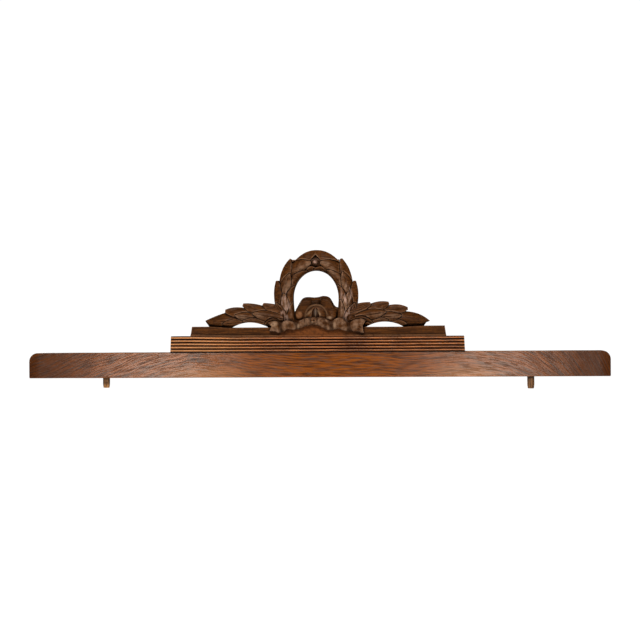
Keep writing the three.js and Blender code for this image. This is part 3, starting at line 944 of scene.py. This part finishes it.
def leaf(
    piece,
    ground,
    base,
    tip,
    half_width,
    bend=0.0,
    lift=6,
    raised=0,
    ridge=2.6,
    blunt=0.1,
    vein=0.9,
    veins=(0,),
    cut_to=2,
):
    """Carves a laurel leaf on piece, whose ground has the depth ground(x, z), with a V-cut round it.

    It goes from its hidden base to its raised tip, and back to the depth cut_to, in millimetres."""
    base, tip = Vector(base), Vector(tip)
    chord = tip - base
    outwards = Vector((-chord.y, chord.x)).normalized()

    def spine(share):
        return base + chord * share + outwards * (4 * bend * share * (1 - share))

    def fullness(share):
        if share < LEAF_WIDEST:
            return 1 - LEAF_BASE_TAPER * ((LEAF_WIDEST - share) / LEAF_WIDEST) ** 2
        return 1 - (1 - blunt) * ((share - LEAF_WIDEST) / (1 - LEAF_WIDEST)) ** LEAF_TIP_POWER

    def outline(share, across, spare):
        share *= 1 + spare / chord.length
        point = spine(share)
        along = (spine(share + 0.01) - spine(share - 0.01)).normalized()
        sideways = across * (half_width * fullness(min(share, 1)) + spare)
        return point, point.x - along.y * sideways, point.y + along.x * sideways

    def surface(u, v):
        share = (v + 1) / 2
        out = abs(u) ** LEAF_ROWS_CROWD
        across = math.copysign(out, u)
        point, x, z = outline(share, across, 0)
        curled = raised - LEAF_SINK + lift * share**LEAF_CURL
        body = fullness(share) * (ridge * (1 - out) + LEAF_BELLY * arched(out))
        rim = RIM_DROP * max(0.0, (out - RIM_START) / RIM_WIDTH) ** 2
        rib = sum(vein * bell(across - place, VEIN_WIDTH) for place in veins) * min(1, (1 - share) * 5)
        height = curled + body - rim - rib + 0.35 * tooled(x, z, tip.x, 5)
        depth = between(ground(point.x, point.y), ground(x, z), LEAF_FOLLOWS_GROUND)
        return x, depth - height, z

    def groove(u, v):
        _, x, z = outline((v + 1) / 2, u, GROOVE_WIDTH)
        return x, ground(x, z) + GROOVE_DEPTH, z

    cut(piece, carved("groove", 8, 20, groove, GROOVE_FRONT))
    unite(piece, [carved("leaf", 16, 24, surface, cut_to)])


def line_through(points):
    """Straight stretches through points, as a function of the first coordinate."""

    def height(x):
        for before, after in zip(points, points[1:]):
            if x <= after[0]:
                return between(before[1], after[1], max(0.0, (x - before[0]) / (after[0] - before[0])))
        return points[-1][1]

    return height


def softly_through(points, reach):
    """Straight stretches through points with their corners rounded over a reach."""
    sharp = line_through(points)
    return lambda x: sum(sharp(x + reach * part / 3) for part in range(-3, 4)) / 7


crown_foot = line_through(CROWN_FOOT)


def crown_cap(u, v):
    """The two leaves at the very top, which run into each other over the berry."""
    x = CROWN_HALF_WIDTH * u
    top = CROWN_TOP - min(CROWN_DROP * abs(u - CROWN_TOP_AT) ** 2.2, CROWN_LARGEST_DROP)
    share = (v + 1) / 2
    z = between(crown_foot(abs(x)), top, share)
    depth = CROWN_FOOT_DEPTH + CROWN_LEAN * share**1.6 + 1.2 * abs(u)
    return x, depth - 0.3 * tooled(x, z, 7, 5), z


def wreath_arm(side):
    """The core of the wreath's left (-1) or right (1) half, from its top to its foot."""

    def surface(u, v):
        return wreath_place(side, FOOT_ANGLE * (v + 1) / 2, (u + 1) / 2)

    return carved("wreath_arm", 12, 44, surface, BACK)


def lying_cylinder(**settings):
    """A cylinder that goes through the board from front to back."""
    piece = shape(bpy.ops.mesh.primitive_cylinder_add, "bore", rotation=(math.pi / 2, 0, 0), **settings)
    bpy.ops.object.transform_apply()
    return piece


def wreath_opening():
    """The shape of the hole inside the wreath, long enough to go right through the board."""
    piece = lying_cylinder(vertices=128, radius=1, depth=EYE_TOOL_LENGTH)
    for vertex in piece.data.vertices:
        turn = math.atan2(vertex.co.x, vertex.co.z)
        x, _, z = wreath_place(math.copysign(1, turn), abs(turn) / math.pi * FOOT_ANGLE, 0)
        vertex.co.x, vertex.co.z = x * MM, z * MM
    return piece


def pebble(name, place, half_sizes, segments=32):
    """A rounded lump, in millimetres."""
    ball = dict(segments=segments, ring_count=segments * 2 // 3, radius=1)
    piece = shape(bpy.ops.mesh.primitive_uv_sphere_add, name, **ball)
    for vertex in piece.data.vertices:
        vertex.co = Vector([p + h * c for p, h, c in zip(place, half_sizes, vertex.co)]) * MM
    return piece


wreath = wreath_arm(-1)
unite(wreath, [wreath_arm(1), carved("crown_cap", 60, 12, crown_cap, BACK)])

# The leaves from the top down, by turns on the left and the right arm: base, tip and half width
on_wreath = partial(leaf, wreath, wreath_depth)
on_wreath((-40, 210), (4, 215.5), 5, bend=4, lift=2, vein=0)
on_wreath((42, 210), (-4, 215), 5, bend=-4, lift=2, vein=0)
on_wreath((-62, 210), (-9, 228), 11.5, bend=2, lift=3.5, raised=1, blunt=0.2, vein=1.2)
on_wreath((63, 208), (10, 228), 11.5, bend=-2, lift=3.5, raised=1, blunt=0.2, vein=1.2)
on_wreath((-70, 170), (-50, 236.5), 9.8, bend=0.5, blunt=0.12, cut_to=BACK, vein=0)
on_wreath((70, 170), (50.8, 236), 9.6, bend=-0.5, blunt=0.25, cut_to=BACK, vein=0)
on_wreath((-60, 160), (-17, 212), 12, bend=4, cut_to=4, lift=4, vein=1.2, ridge=3.4)
on_wreath((62, 160), (24, 213), 12, bend=-4, cut_to=4, lift=4, vein=1.2, ridge=3.4)
on_wreath((-69, 152), (-51, 206), 10.5, bend=1, vein=1.6, raised=1.5, ridge=3.2)
on_wreath((71, 154), (54, 209), 10.5, bend=-1, vein=1.6, raised=1.5, ridge=3.2)
on_wreath((-73, 124), (-77, 193), 8.6, blunt=0.3, cut_to=BACK, ridge=3.8, vein=0)
on_wreath((74, 124), (77.5, 191.8), 8.6, blunt=0.3, cut_to=BACK, ridge=3.8, vein=0)
on_wreath((-55, 124), (-43, 182), 12, bend=1, cut_to=4, lift=4, vein=1.2)
on_wreath((56, 128), (43.5, 184), 12, bend=-1, cut_to=4, lift=4, vein=1.6, ridge=3.2)
on_wreath((-59, 108), (-63, 167), 9.5, vein=1.6, raised=1.5, ridge=3.2)
on_wreath((60, 112), (66.5, 170), 9.5, vein=1.6, raised=1.5, ridge=3.2)
on_wreath((-47, 90), (-45, 150), 11, cut_to=BACK, vein=0.6)
on_wreath((47, 92), (48.5, 154), 11, cut_to=BACK, vein=1.6)
on_wreath((-56, 92), (-79, 148.5), 10.5, cut_to=BACK, vein=1.8, veins=TWO_VEINS, raised=1)
on_wreath((57, 92), (78, 147.5), 10.5, cut_to=BACK, vein=1.8, veins=TWO_VEINS, raised=1)
cut(wreath, wreath_opening())
carvings += [wreath, pebble("berry", BERRY_PLACE, BERRY_HALF_SIZES)]

# The crest's branches
# A laurel branch lies on the plinth on each side of the wreath, in lower relief. Its leaves point
# outwards in steps, the last one ends in a long point, and a flat arch is cut through under it.
BRANCH_TIP = 223
BRANCH_ROOT = 66
BRANCH_TIP_HEIGHT = 114
BRANCH_CROWN_HEIGHT = 142
BRANCH_CROWN_AT = 95
BRANCH_FALL_POWER = 2.2
BRANCH_TOE = 213
BRANCH_EDGE_DEPTH = 5
BRANCH_CROWN = 9
BRANCH_FULL_HEIGHT = 30
GAP_MIDDLES = (-133, 137)
GAP_HALF_WIDTH = 37
GAP_RISE = 10
GAP_RADIUS = (GAP_HALF_WIDTH**2 + GAP_RISE**2) / (2 * GAP_RISE)


def branch_edges(reach):
    """The heights of the branch core's lower and upper edge at a reach from the middle."""
    share = max(0.0, (reach - BRANCH_CROWN_AT) / (BRANCH_TIP - BRANCH_CROWN_AT))
    top = BRANCH_CROWN_HEIGHT - (BRANCH_CROWN_HEIGHT - BRANCH_TIP_HEIGHT) * share**BRANCH_FALL_POWER
    toe = held((reach - BRANCH_TOE) / (BRANCH_TIP - BRANCH_TOE))
    foot = between(PLINTH_TOP, BRANCH_TIP_HEIGHT, toe)
    return foot - 1, max(top, foot + 1)


def branch_depth(x, z):
    """The depth of a branch's ground behind a point of its front view."""
    foot, top = branch_edges(abs(x))
    across = held((z - foot) / (top - foot))
    return -BRANCH_EDGE_DEPTH - BRANCH_CROWN * arched(across) * min(1, (top - foot) / BRANCH_FULL_HEIGHT)


def branch_core(side):
    """The core of the left (-1) or right (1) branch, which its leaves are carved on."""

    def surface(u, v):
        reach = between(BRANCH_ROOT, BRANCH_TIP - 0.5, (v + 1) / 2)
        foot, top = branch_edges(reach)
        z = between(foot, top, (u + 1) / 2)
        return side * reach, CORE_SINK + branch_depth(reach, z), z

    return carved("branch_core", 10, 40, surface, BACK)


# Each branch from its tip inwards, its leaves given by base, tip and half width
left_branch = branch_core(-1)
on_left = partial(leaf, left_branch, branch_depth)
on_left((-150, 113), (-222, 113.8), 10.5, bend=1.9, lift=2, blunt=0.02, cut_to=BACK)
on_left((-126, 129), (-182, 133), 10, bend=0.5, cut_to=BACK, blunt=0.3)
on_left((-130, 113), (-187, 107), 8.5, bend=1, vein=1.4)
on_left((-88, 132), (-146.4, 145.6), 9.8, bend=2.8, cut_to=BACK, blunt=0.3)
on_left((-108, 117), (-161, 124), 9, bend=0.5, raised=0.8, vein=1.6)
on_left((-90, 108), (-146, 113), 8.5, raised=0.4, vein=1.4)
on_left((-48, 131), (-106, 146.4), 9.5, bend=3.5, cut_to=BACK, blunt=0.3)
on_left((-66, 117), (-126, 128), 10, bend=0.5, raised=1.2, vein=1.6)
on_left((-69, 106), (-103, 105), 4, bend=-9, vein=0, ridge=2, lift=3, raised=1)
right_branch = branch_core(1)
on_right = partial(leaf, right_branch, branch_depth)
on_right((142, 122), (226.5, 111), 12.5, bend=0.9, lift=2, blunt=0.02, cut_to=BACK)
on_right((126, 131), (183, 135.8), 10, bend=0.8, cut_to=BACK, blunt=0.25)
on_right((128, 112), (180, 106), 8.5, bend=-1, vein=1.4)
on_right((90, 132), (145.6, 147.2), 10.3, bend=-1.2, cut_to=BACK, blunt=0.25)
on_right((116, 118), (170, 122), 9.5, bend=-0.5, raised=0.8, vein=1.6)
on_right((88, 109), (144, 113), 8.5, raised=0.4, vein=1.4)
on_right((46, 126), (109, 146.4), 10, bend=-1.5, cut_to=BACK, blunt=0.3, vein=1.4, veins=(-0.4, 0, 0.4))
on_right((78, 120), (139, 129), 10, bend=-0.5, raised=1.2, vein=1.6)
on_right((70, 113), (115, 106), 4, bend=8, vein=0, ridge=2, lift=3, raised=1)

for piece, middle in zip((left_branch, right_branch), GAP_MIDDLES):
    centre = (middle * MM, 0, (PLINTH_TOP + GAP_RISE - GAP_RADIUS) * MM)
    cut(piece, lying_cylinder(vertices=256, radius=GAP_RADIUS * MM, depth=0.2, location=centre))
    carvings.append(piece)

# The crest's bow
# A ribbon bow at the foot of the wreath: two round loops stand behind, a hooded loop with a deep hollow
# in front of them, and a small ear-shaped loop on each side.
BOW_OUTLINE = [
    (-41, 134), (-38, 140.5), (-35.3, 145.5), (-32.6, 150.5), (-29.2, 155.4), (-25.5, 158.6), (-20.8, 160),
    (-13, 160.2), (-3, 159.3), (5, 160.2), (12.4, 162.4), (20, 162), (26, 160), (30.3, 155.5), (33, 149),
    (36, 143.2), (40, 139.7), (45, 139.4),
]
BOW_FOOT = 104
BOW_ROWS_CROWD = 1.4
LOOPS_FOOT = 7
LEFT_LOOP = dict(middle=(-22, 130), half_sizes=(20, 46), height=6)
RIGHT_LOOP = dict(middle=(25, 130), half_sizes=(20, 46), height=6.5)
LOOP_EDGE = 9
LOOP_EDGE_DROP = 14
BOW_CREASES = (-7.4, 7.2)
BOW_CREASE_DEPTH = 2.4
BOW_CREASE_WIDTH = 2.6
HOOD_PLACE = (0.8, 122)
HOOD_RADIUS = 21.8
HOOD_FOOT = 10
HOOD_DOME = 7
HOOD_RIM = 2.5
HOOD_RIM_FOOT = 13.4
HOOD_RIM_ROUND = 1.6
HOLLOW = dict(middle=(-0.6, 122), half_sizes=(7.5, 17), height=1)
HOLLOW_DEPTH = 5.5
FOLD_HEIGHT = 4.5
FOLD_WIDTH = 2.6
LEFT_EAR = dict(middle=(-33, 123.5), half_sizes=(8.2, 9.5), height=7, squareness=3.5)
RIGHT_EAR = dict(middle=(31.5, 122), half_sizes=(10.8, 14.5), height=7)
EARS_FOOT = 9.5
EAR_CREASE_DEPTH = 1.2
EAR_CREASE_WIDTH = 1.8
BOW_GROUND = [(-90, 97), (-86, 113), (-48, 116), (-41, 134), (44, 139), (48, 116), (86, 113), (90, 97)]
BOW_GROUND_DEPTH = -9.5

bow_top = softly_through(BOW_OUTLINE, 3)
ground_top = line_through(BOW_GROUND)


def swell(x, z, middle, half_sizes, height, squareness=2):
    """The height of a rounded lump over the board, or a low value outside it."""
    sides = [abs(x - middle[0]) / half_sizes[0], abs(z - middle[1]) / half_sizes[1]]
    reach = sum(side**squareness for side in sides) ** (1 / squareness)
    return height * math.sqrt(1 - reach * reach) if reach < 1 else -20


def bow_face(u, v):
    """The front of all the bow's loops."""
    x = between(BOW_OUTLINE[0][0], BOW_OUTLINE[-1][0], (u + 1) / 2)
    top = bow_top(x)
    z = between(BOW_FOOT, top, 1 - (1 - (v + 1) / 2) ** BOW_ROWS_CROWD)
    # The two loops behind, with a pleat between them
    height = LOOPS_FOOT + max(swell(x, z, **LEFT_LOOP), swell(x, z, **RIGHT_LOOP), 0)
    height -= sum(BOW_CREASE_DEPTH * bell(x - place, BOW_CREASE_WIDTH) for place in BOW_CREASES)
    height -= LOOP_EDGE_DROP * max(0.0, 1 - (top - z) / LOOP_EDGE) ** 2.2
    # The hood's rolled rim, and under it the dome with its hollow and the fold inside
    reach = math.hypot(x - HOOD_PLACE[0], z - HOOD_PLACE[1])
    if abs(reach - HOOD_RADIUS) < HOOD_RIM:
        height = max(height, HOOD_RIM_FOOT + HOOD_RIM_ROUND * (1 - ((reach - HOOD_RADIUS) / HOOD_RIM) ** 2))
    elif reach < HOOD_RADIUS:
        height = HOOD_FOOT + HOOD_DOME * math.sqrt(1 - (reach / HOOD_RADIUS) ** 2)
        hollow = swell(x, z, **HOLLOW)
        if hollow > 0:
            height -= HOLLOW_DEPTH * hollow**0.8
            height += FOLD_HEIGHT * bell(x - HOLLOW["middle"][0], FOLD_WIDTH) * hollow
    # The ear-shaped loops on both sides
    for spec in (LEFT_EAR, RIGHT_EAR):
        ear = swell(x, z, **spec)
        if ear > 0:
            crease = (x - spec["middle"][0]) * 0.8 + (z - spec["middle"][1]) * 0.5 + 2
            height = max(height, EARS_FOOT + ear - EAR_CREASE_DEPTH * bell(crease, EAR_CREASE_WIDTH))
    return x, -height - 0.4 * tooled(x, z, 0, 6), z


def bow_ground(u, v):
    """The flat ground behind the bow and the ribbon."""
    x = u * BOW_GROUND[-1][0]
    return x, BOW_GROUND_DEPTH, between(PLINTH_TOP - 3, max(ground_top(x), PLINTH_TOP - 2), (v + 1) / 2)


carvings.append(carved("bow", 130, 84, bow_face, BACK))
carvings.append(carved("bow_ground", 60, 2, bow_ground, BACK))

# The crest's ribbon
# The ends of the bow's ribbon run out over the feet of the wreath in soft folds and end in swallowtails.
# A round knot with a dimple holds the bow in the middle.
RIBBON_TOP = [
    (-96, 109), (-88, 112), (-82, 113.3), (-74, 110.6), (-69, 108.3), (-63.4, 111.9), (-57, 114.2),
    (-47, 111.7), (-39, 109.8), (-29, 114.1), (-23, 117.9), (-11, 118.5), (9, 119), (18, 117.6),
    (26, 112.5), (32, 110.5), (38.6, 116.2), (46, 119), (54, 116.8), (66.7, 108.2), (73, 112.8),
    (81, 115.9), (91, 116.5), (101, 113),
]
RIBBON_FOOT = [
    (-96, 92.5), (-81, 91.6), (-74.3, 88.5), (-63.4, 91.5), (-57, 95.9), (-43, 94.5), (-33, 96.1),
    (-21, 101.4), (-3.5, 105), (11.8, 99.8), (22, 94), (33.5, 93.2), (43.7, 96.7), (56.5, 93),
    (64, 90.2), (71, 91.7), (83, 90.4), (93.5, 87.8), (101, 89),
]
RIBBON_CREASES = (-96, -81, -70, -54, -37, -21, -10, 3, 18, 31, 47, 66, 84, 101)
RIBBON_DIPS = (0, -1.5, 2.6, -1.5, 2.6, 0, 0.5, 0, 0, 2.6, -1.5, 2.6, -1.5, 0)
RIBBON_CRESTS = (3.2, 4.2, 4.4, 3.6, 4.2, 2.6, 2.0, 2.8, 3.8, 4.4, 4.0, 4.4, 3.4)
RIBBON_FRONT = -20.5
RIBBON_LEAN = 3
RIBBON_BELLY = 1.5
RIBBON_EDGE_START = 0.85
RIBBON_EDGE_WIDTH = 0.15
RIBBON_EDGE_DROP = 1.6
GATHER_PLACE = -16
GATHER_REACH = 6
GATHER_STEP = 3.6
GATHER_DEPTH = 0.7
KNOT_PLACE_AND_SIZE = (-3.4, -22, 113.4), (6.5, 5, 6.5)
DIMPLE_PLACE_AND_SIZE = (-3, -28, 113.4), (2.2, 3, 2.2)

left_end = line_through([(0, -92.5), (0.5, -87.4), (1, -95.5)])
right_end = line_through([(0, 95), (0.5, 93), (1, 100)])
ribbon_top = softly_through(RIBBON_TOP, 1.5)
ribbon_foot = softly_through(RIBBON_FOOT, 1.5)
ribbon_dip = line_through(list(zip(RIBBON_CREASES, RIBBON_DIPS)))


def ribbon_face(u, v):
    """The front of the ribbon, from one swallowtail to the other."""
    across = (v + 1) / 2
    x = between(left_end(across), right_end(across), (u + 1) / 2)
    z = between(ribbon_foot(x), ribbon_top(x), across)
    lean = x + (across - 0.5) * RIBBON_LEAN
    depth = RIBBON_FRONT + ribbon_dip(lean)
    for near, far, fold in zip(RIBBON_CREASES, RIBBON_CREASES[1:], RIBBON_CRESTS):
        if near <= lean <= far:
            depth -= fold * (1 - abs(2 * (lean - near) / (far - near) - 1) ** 1.2)
    depth -= RIBBON_BELLY * arched(across)
    gathers = math.cos(2 * math.pi * x / GATHER_STEP)
    depth += GATHER_DEPTH * gathers * math.exp(-(((x - GATHER_PLACE) / GATHER_REACH) ** 4))
    depth += RIBBON_EDGE_DROP * max(0.0, abs(2 * across - 1) - RIBBON_EDGE_START) / RIBBON_EDGE_WIDTH
    return x, depth - 0.3 * tooled(x, z, 3, 4), z


ribbon = carved("ribbon", 197, 16, ribbon_face, 0)
knot = pebble("knot", *KNOT_PLACE_AND_SIZE, 48)
cut(knot, pebble("dimple", *DIMPLE_PLACE_AND_SIZE, 24))
carvings += [ribbon, knot]

# The whole crest
# All forms are cut from the one board, so they are joined to its plinth, and its back is left flat. The
# wood is darker than the rail's. The foremost leaves and folds are partly dusty and partly painted pale as
# highlights, and the wood between them is painted dark, partly as old polish and partly as shade.
CLEAN_BAND = dict(place=(0, 0.093), stretch=4, inner=0.008, outer=0.028, most=0.6)
LOOP_OUTLINES = dict(place=(-0.001, 0.14), stretch=1.75, inner=0.019, outer=0.0235)
LEFT_LEAVES = dict(place=(-0.061, 0.142), stretch=0.36, inner=0.016, outer=0.038)
RIGHT_LEAVES = dict(place=(0.061, 0.15), stretch=0.36, inner=0.02, outer=0.044)
RUBBED_BERRY = dict(place=(-0.0005, 0.2295), stretch=1.2, inner=0.001, outer=0.0045, most=0.75)
WARM_EAR = dict(place=(-0.033, 0.1245), stretch=0.95, inner=0.004, outer=0.009, most=0.75)
LEFT_CHEEK = dict(place=(-0.0135, 0.128), stretch=0.55, inner=0.002, outer=0.0085, most=0.5, lean=0.85)
RIGHT_CHEEK = dict(place=(0.0068, 0.128), stretch=0.36, inner=0.002, outer=0.008, most=0.75, lean=-0.5)
FOLD_REFLECTION = dict(place=(-0.0006, 0.129), stretch=0.4, inner=0.003, outer=0.0105, most=0.65)
LEFT_FOLD = dict(place=(-0.0345, 0.1015), stretch=0.5, inner=0.001, outer=0.0075, most=0.6)
RIGHT_FOLD = dict(place=(0.0375, 0.105), stretch=0.5, inner=0.001, outer=0.009, most=0.6)
LEFT_TAIL = dict(place=(-0.083, 0.106), stretch=1.6, inner=0.002, outer=0.006, most=0.5)
KNOT_SIDE = dict(place=(-0.0065, 0.1095), stretch=1, inner=0.001, outer=0.0035, most=0.6)
EAR_FOOT = dict(place=(0.0275, 0.1185), stretch=1.8, inner=0.001, outer=0.004, most=0.6)
STREAK_FINENESS = (190, 60, 60)

unite(crest, carvings)


def front_side(tree, spot):
    """The carved front half of the board, so that no mark shows on its back."""
    return ramp(tree, coordinates(tree, spot)[1], -0.004, -0.008)


def marked(*marks):
    """A wash of soft round marks on the front, as strong as the strongest of them at each place.

    Each mark lies round a place given by X and Z, is stretched sideways, and leans to the right by lean
    for each step up."""

    def one(tree, spot, place, stretch, inner, outer, most=1.0, lean=0.0):
        along, _, height = coordinates(tree, spot)
        upright = reckon(tree, "MULTIPLY_ADD", height, -lean, along)
        flat = add(tree, "CombineXYZ", {"X": upright, "Z": height}).outputs[0]
        centre = ((place[0] - lean * place[1]) / stretch, 0, place[1])
        apart = distance(tree, scaled(tree, flat, (1 / stretch, 0, 1)), centre)
        return ramp(tree, apart, outer, inner, 0, most, soft=True)

    def where(tree, spot):
        strongest = one(tree, spot, **marks[0])
        for mark in marks[1:]:
            strongest = reckon(tree, "MAXIMUM", strongest, one(tree, spot, **mark))
        return reckon(tree, "MULTIPLY", strongest, front_side(tree, spot))

    return where


def dust_and_painted_sheen(tree, spot):
    """The foremost parts of the carving are partly dusty and partly painted pale as a highlight, the plinth
    below it is not.
    """
    _, depth, height = coordinates(tree, spot)
    front = ramp(tree, depth, -0.0145, -0.0205, 0, 0.75, soft=True)
    patches = ramp(tree, clouds(tree, spot, 90.0, 3.0), 0.35, 0.65)
    return product(tree, front, patches, ramp(tree, height, 0.086, 0.089))


def clean_plinth(tree, spot):
    """Under the ribbon the plinth has stayed cleaner and redder."""
    flat = ramp(tree, coordinates(tree, spot)[1], -0.0165, -0.0145)
    return product(tree, marked(CLEAN_BAND)(tree, spot), flat)


def pale_leaves(tree, spot):
    """The leaves low on both sides of the wreath are painted pale and pinkish as highlights, in upright
    streaks.
    """
    both = marked(LEFT_LEAVES, RIGHT_LEAVES)(tree, spot)
    streaks = clouds(tree, scaled(tree, spot, STREAK_FINENESS), 1.0, 2.0)
    return product(tree, both, ramp(tree, streaks, 0.47, 0.64, 0, 0.85))


def painted_hood_rim_highlight(tree, spot):
    """The rolled rim of the bow's hood is painted greyer and lighter than the loops, as a highlight."""
    centre = (HOOD_PLACE[0] * MM, 0, HOOD_PLACE[1] * MM)
    reach = distance(tree, scaled(tree, spot, (1, 0, 1)), centre)
    rim = ramp(tree, apart_from(tree, reach, HOOD_RADIUS * MM), 0.0028, 0.0008, 0, 0.4)
    above = ramp(tree, coordinates(tree, spot)[2], 0.117, 0.126)
    return product(tree, rim, above, front_side(tree, spot))


def dark_loops(tree, spot):
    """The two loops behind the hood are painted with shade where they turn away at their outline."""
    turned = ramp(tree, coordinates(tree, spot)[1], -0.015, -0.0085, 0, 0.85)
    return product(tree, marked(LOOP_OUTLINES)(tree, spot), turned)


def ribbon_hollows(tree, spot):
    """Painted shade lies dark in the hollows between the ribbon's folds."""
    _, depth, height = coordinates(tree, spot)
    deep = ramp(tree, depth, -0.0232, -0.0212, 0, 0.7)
    behind = ramp(tree, depth, -0.0168, -0.0176)
    return product(tree, deep, ramp(tree, height, 0.119, 0.117), behind)


def mottled(tree, spot):
    """Small dark patches all over the carving."""
    return ramp(tree, clouds(tree, spot, 170.0, 3.0), 0.5, 0.66, 0, 0.5)


crest_oak = oak(
    "carved_oak",
    light=tone(98, 59, 27),
    middle=tone(81, 46, 18),
    dark=tone(57, 32, 14),
    dirt_and_shade=tone(9, 5, 4),
    worn=tone(144, 108, 82),
    grain_place=straight_grain,
    roughness=0.3,
    recess=0.006,
    shine=0.04,
    washes=[
        # dust and painted highlight on the foremost relief
        (dust_and_painted_sheen, tone(146, 115, 93)),
        (clean_plinth, tone(128, 74, 38)),
        # painted highlight on the hood's rim
        (painted_hood_rim_highlight, tone(106, 84, 64)),
        # painted shade along the loops' outline
        (dark_loops, tone(40, 25, 15)),
        # painted highlight on the left ear
        (marked(WARM_EAR), tone(132, 90, 60)),
        # painted highlights on the hood's cheeks
        (marked(LEFT_CHEEK, RIGHT_CHEEK), tone(160, 130, 100)),
        # painted grey reflection on the fold in the hood's hollow
        (marked(FOLD_REFLECTION), tone(110, 98, 88)),
        # painted shade in the ribbon's hollows
        (ribbon_hollows, tone(44, 26, 16)),
        # painted highlights on the ribbon's folds and tail, the knot's side and the right ear's foot
        (marked(LEFT_FOLD, RIGHT_FOLD, LEFT_TAIL, KNOT_SIDE, EAR_FOOT), tone(176, 146, 120)),
        # painted highlights on the low leaves
        (pale_leaves, tone(192, 160, 146)),
        (marked(RUBBED_BERRY), tone(178, 146, 134)),
        (mottled, tone(50, 30, 18)),
    ],
)
finish(crest, crest_oak, "carved_oak", "carved_crest", angle=32)
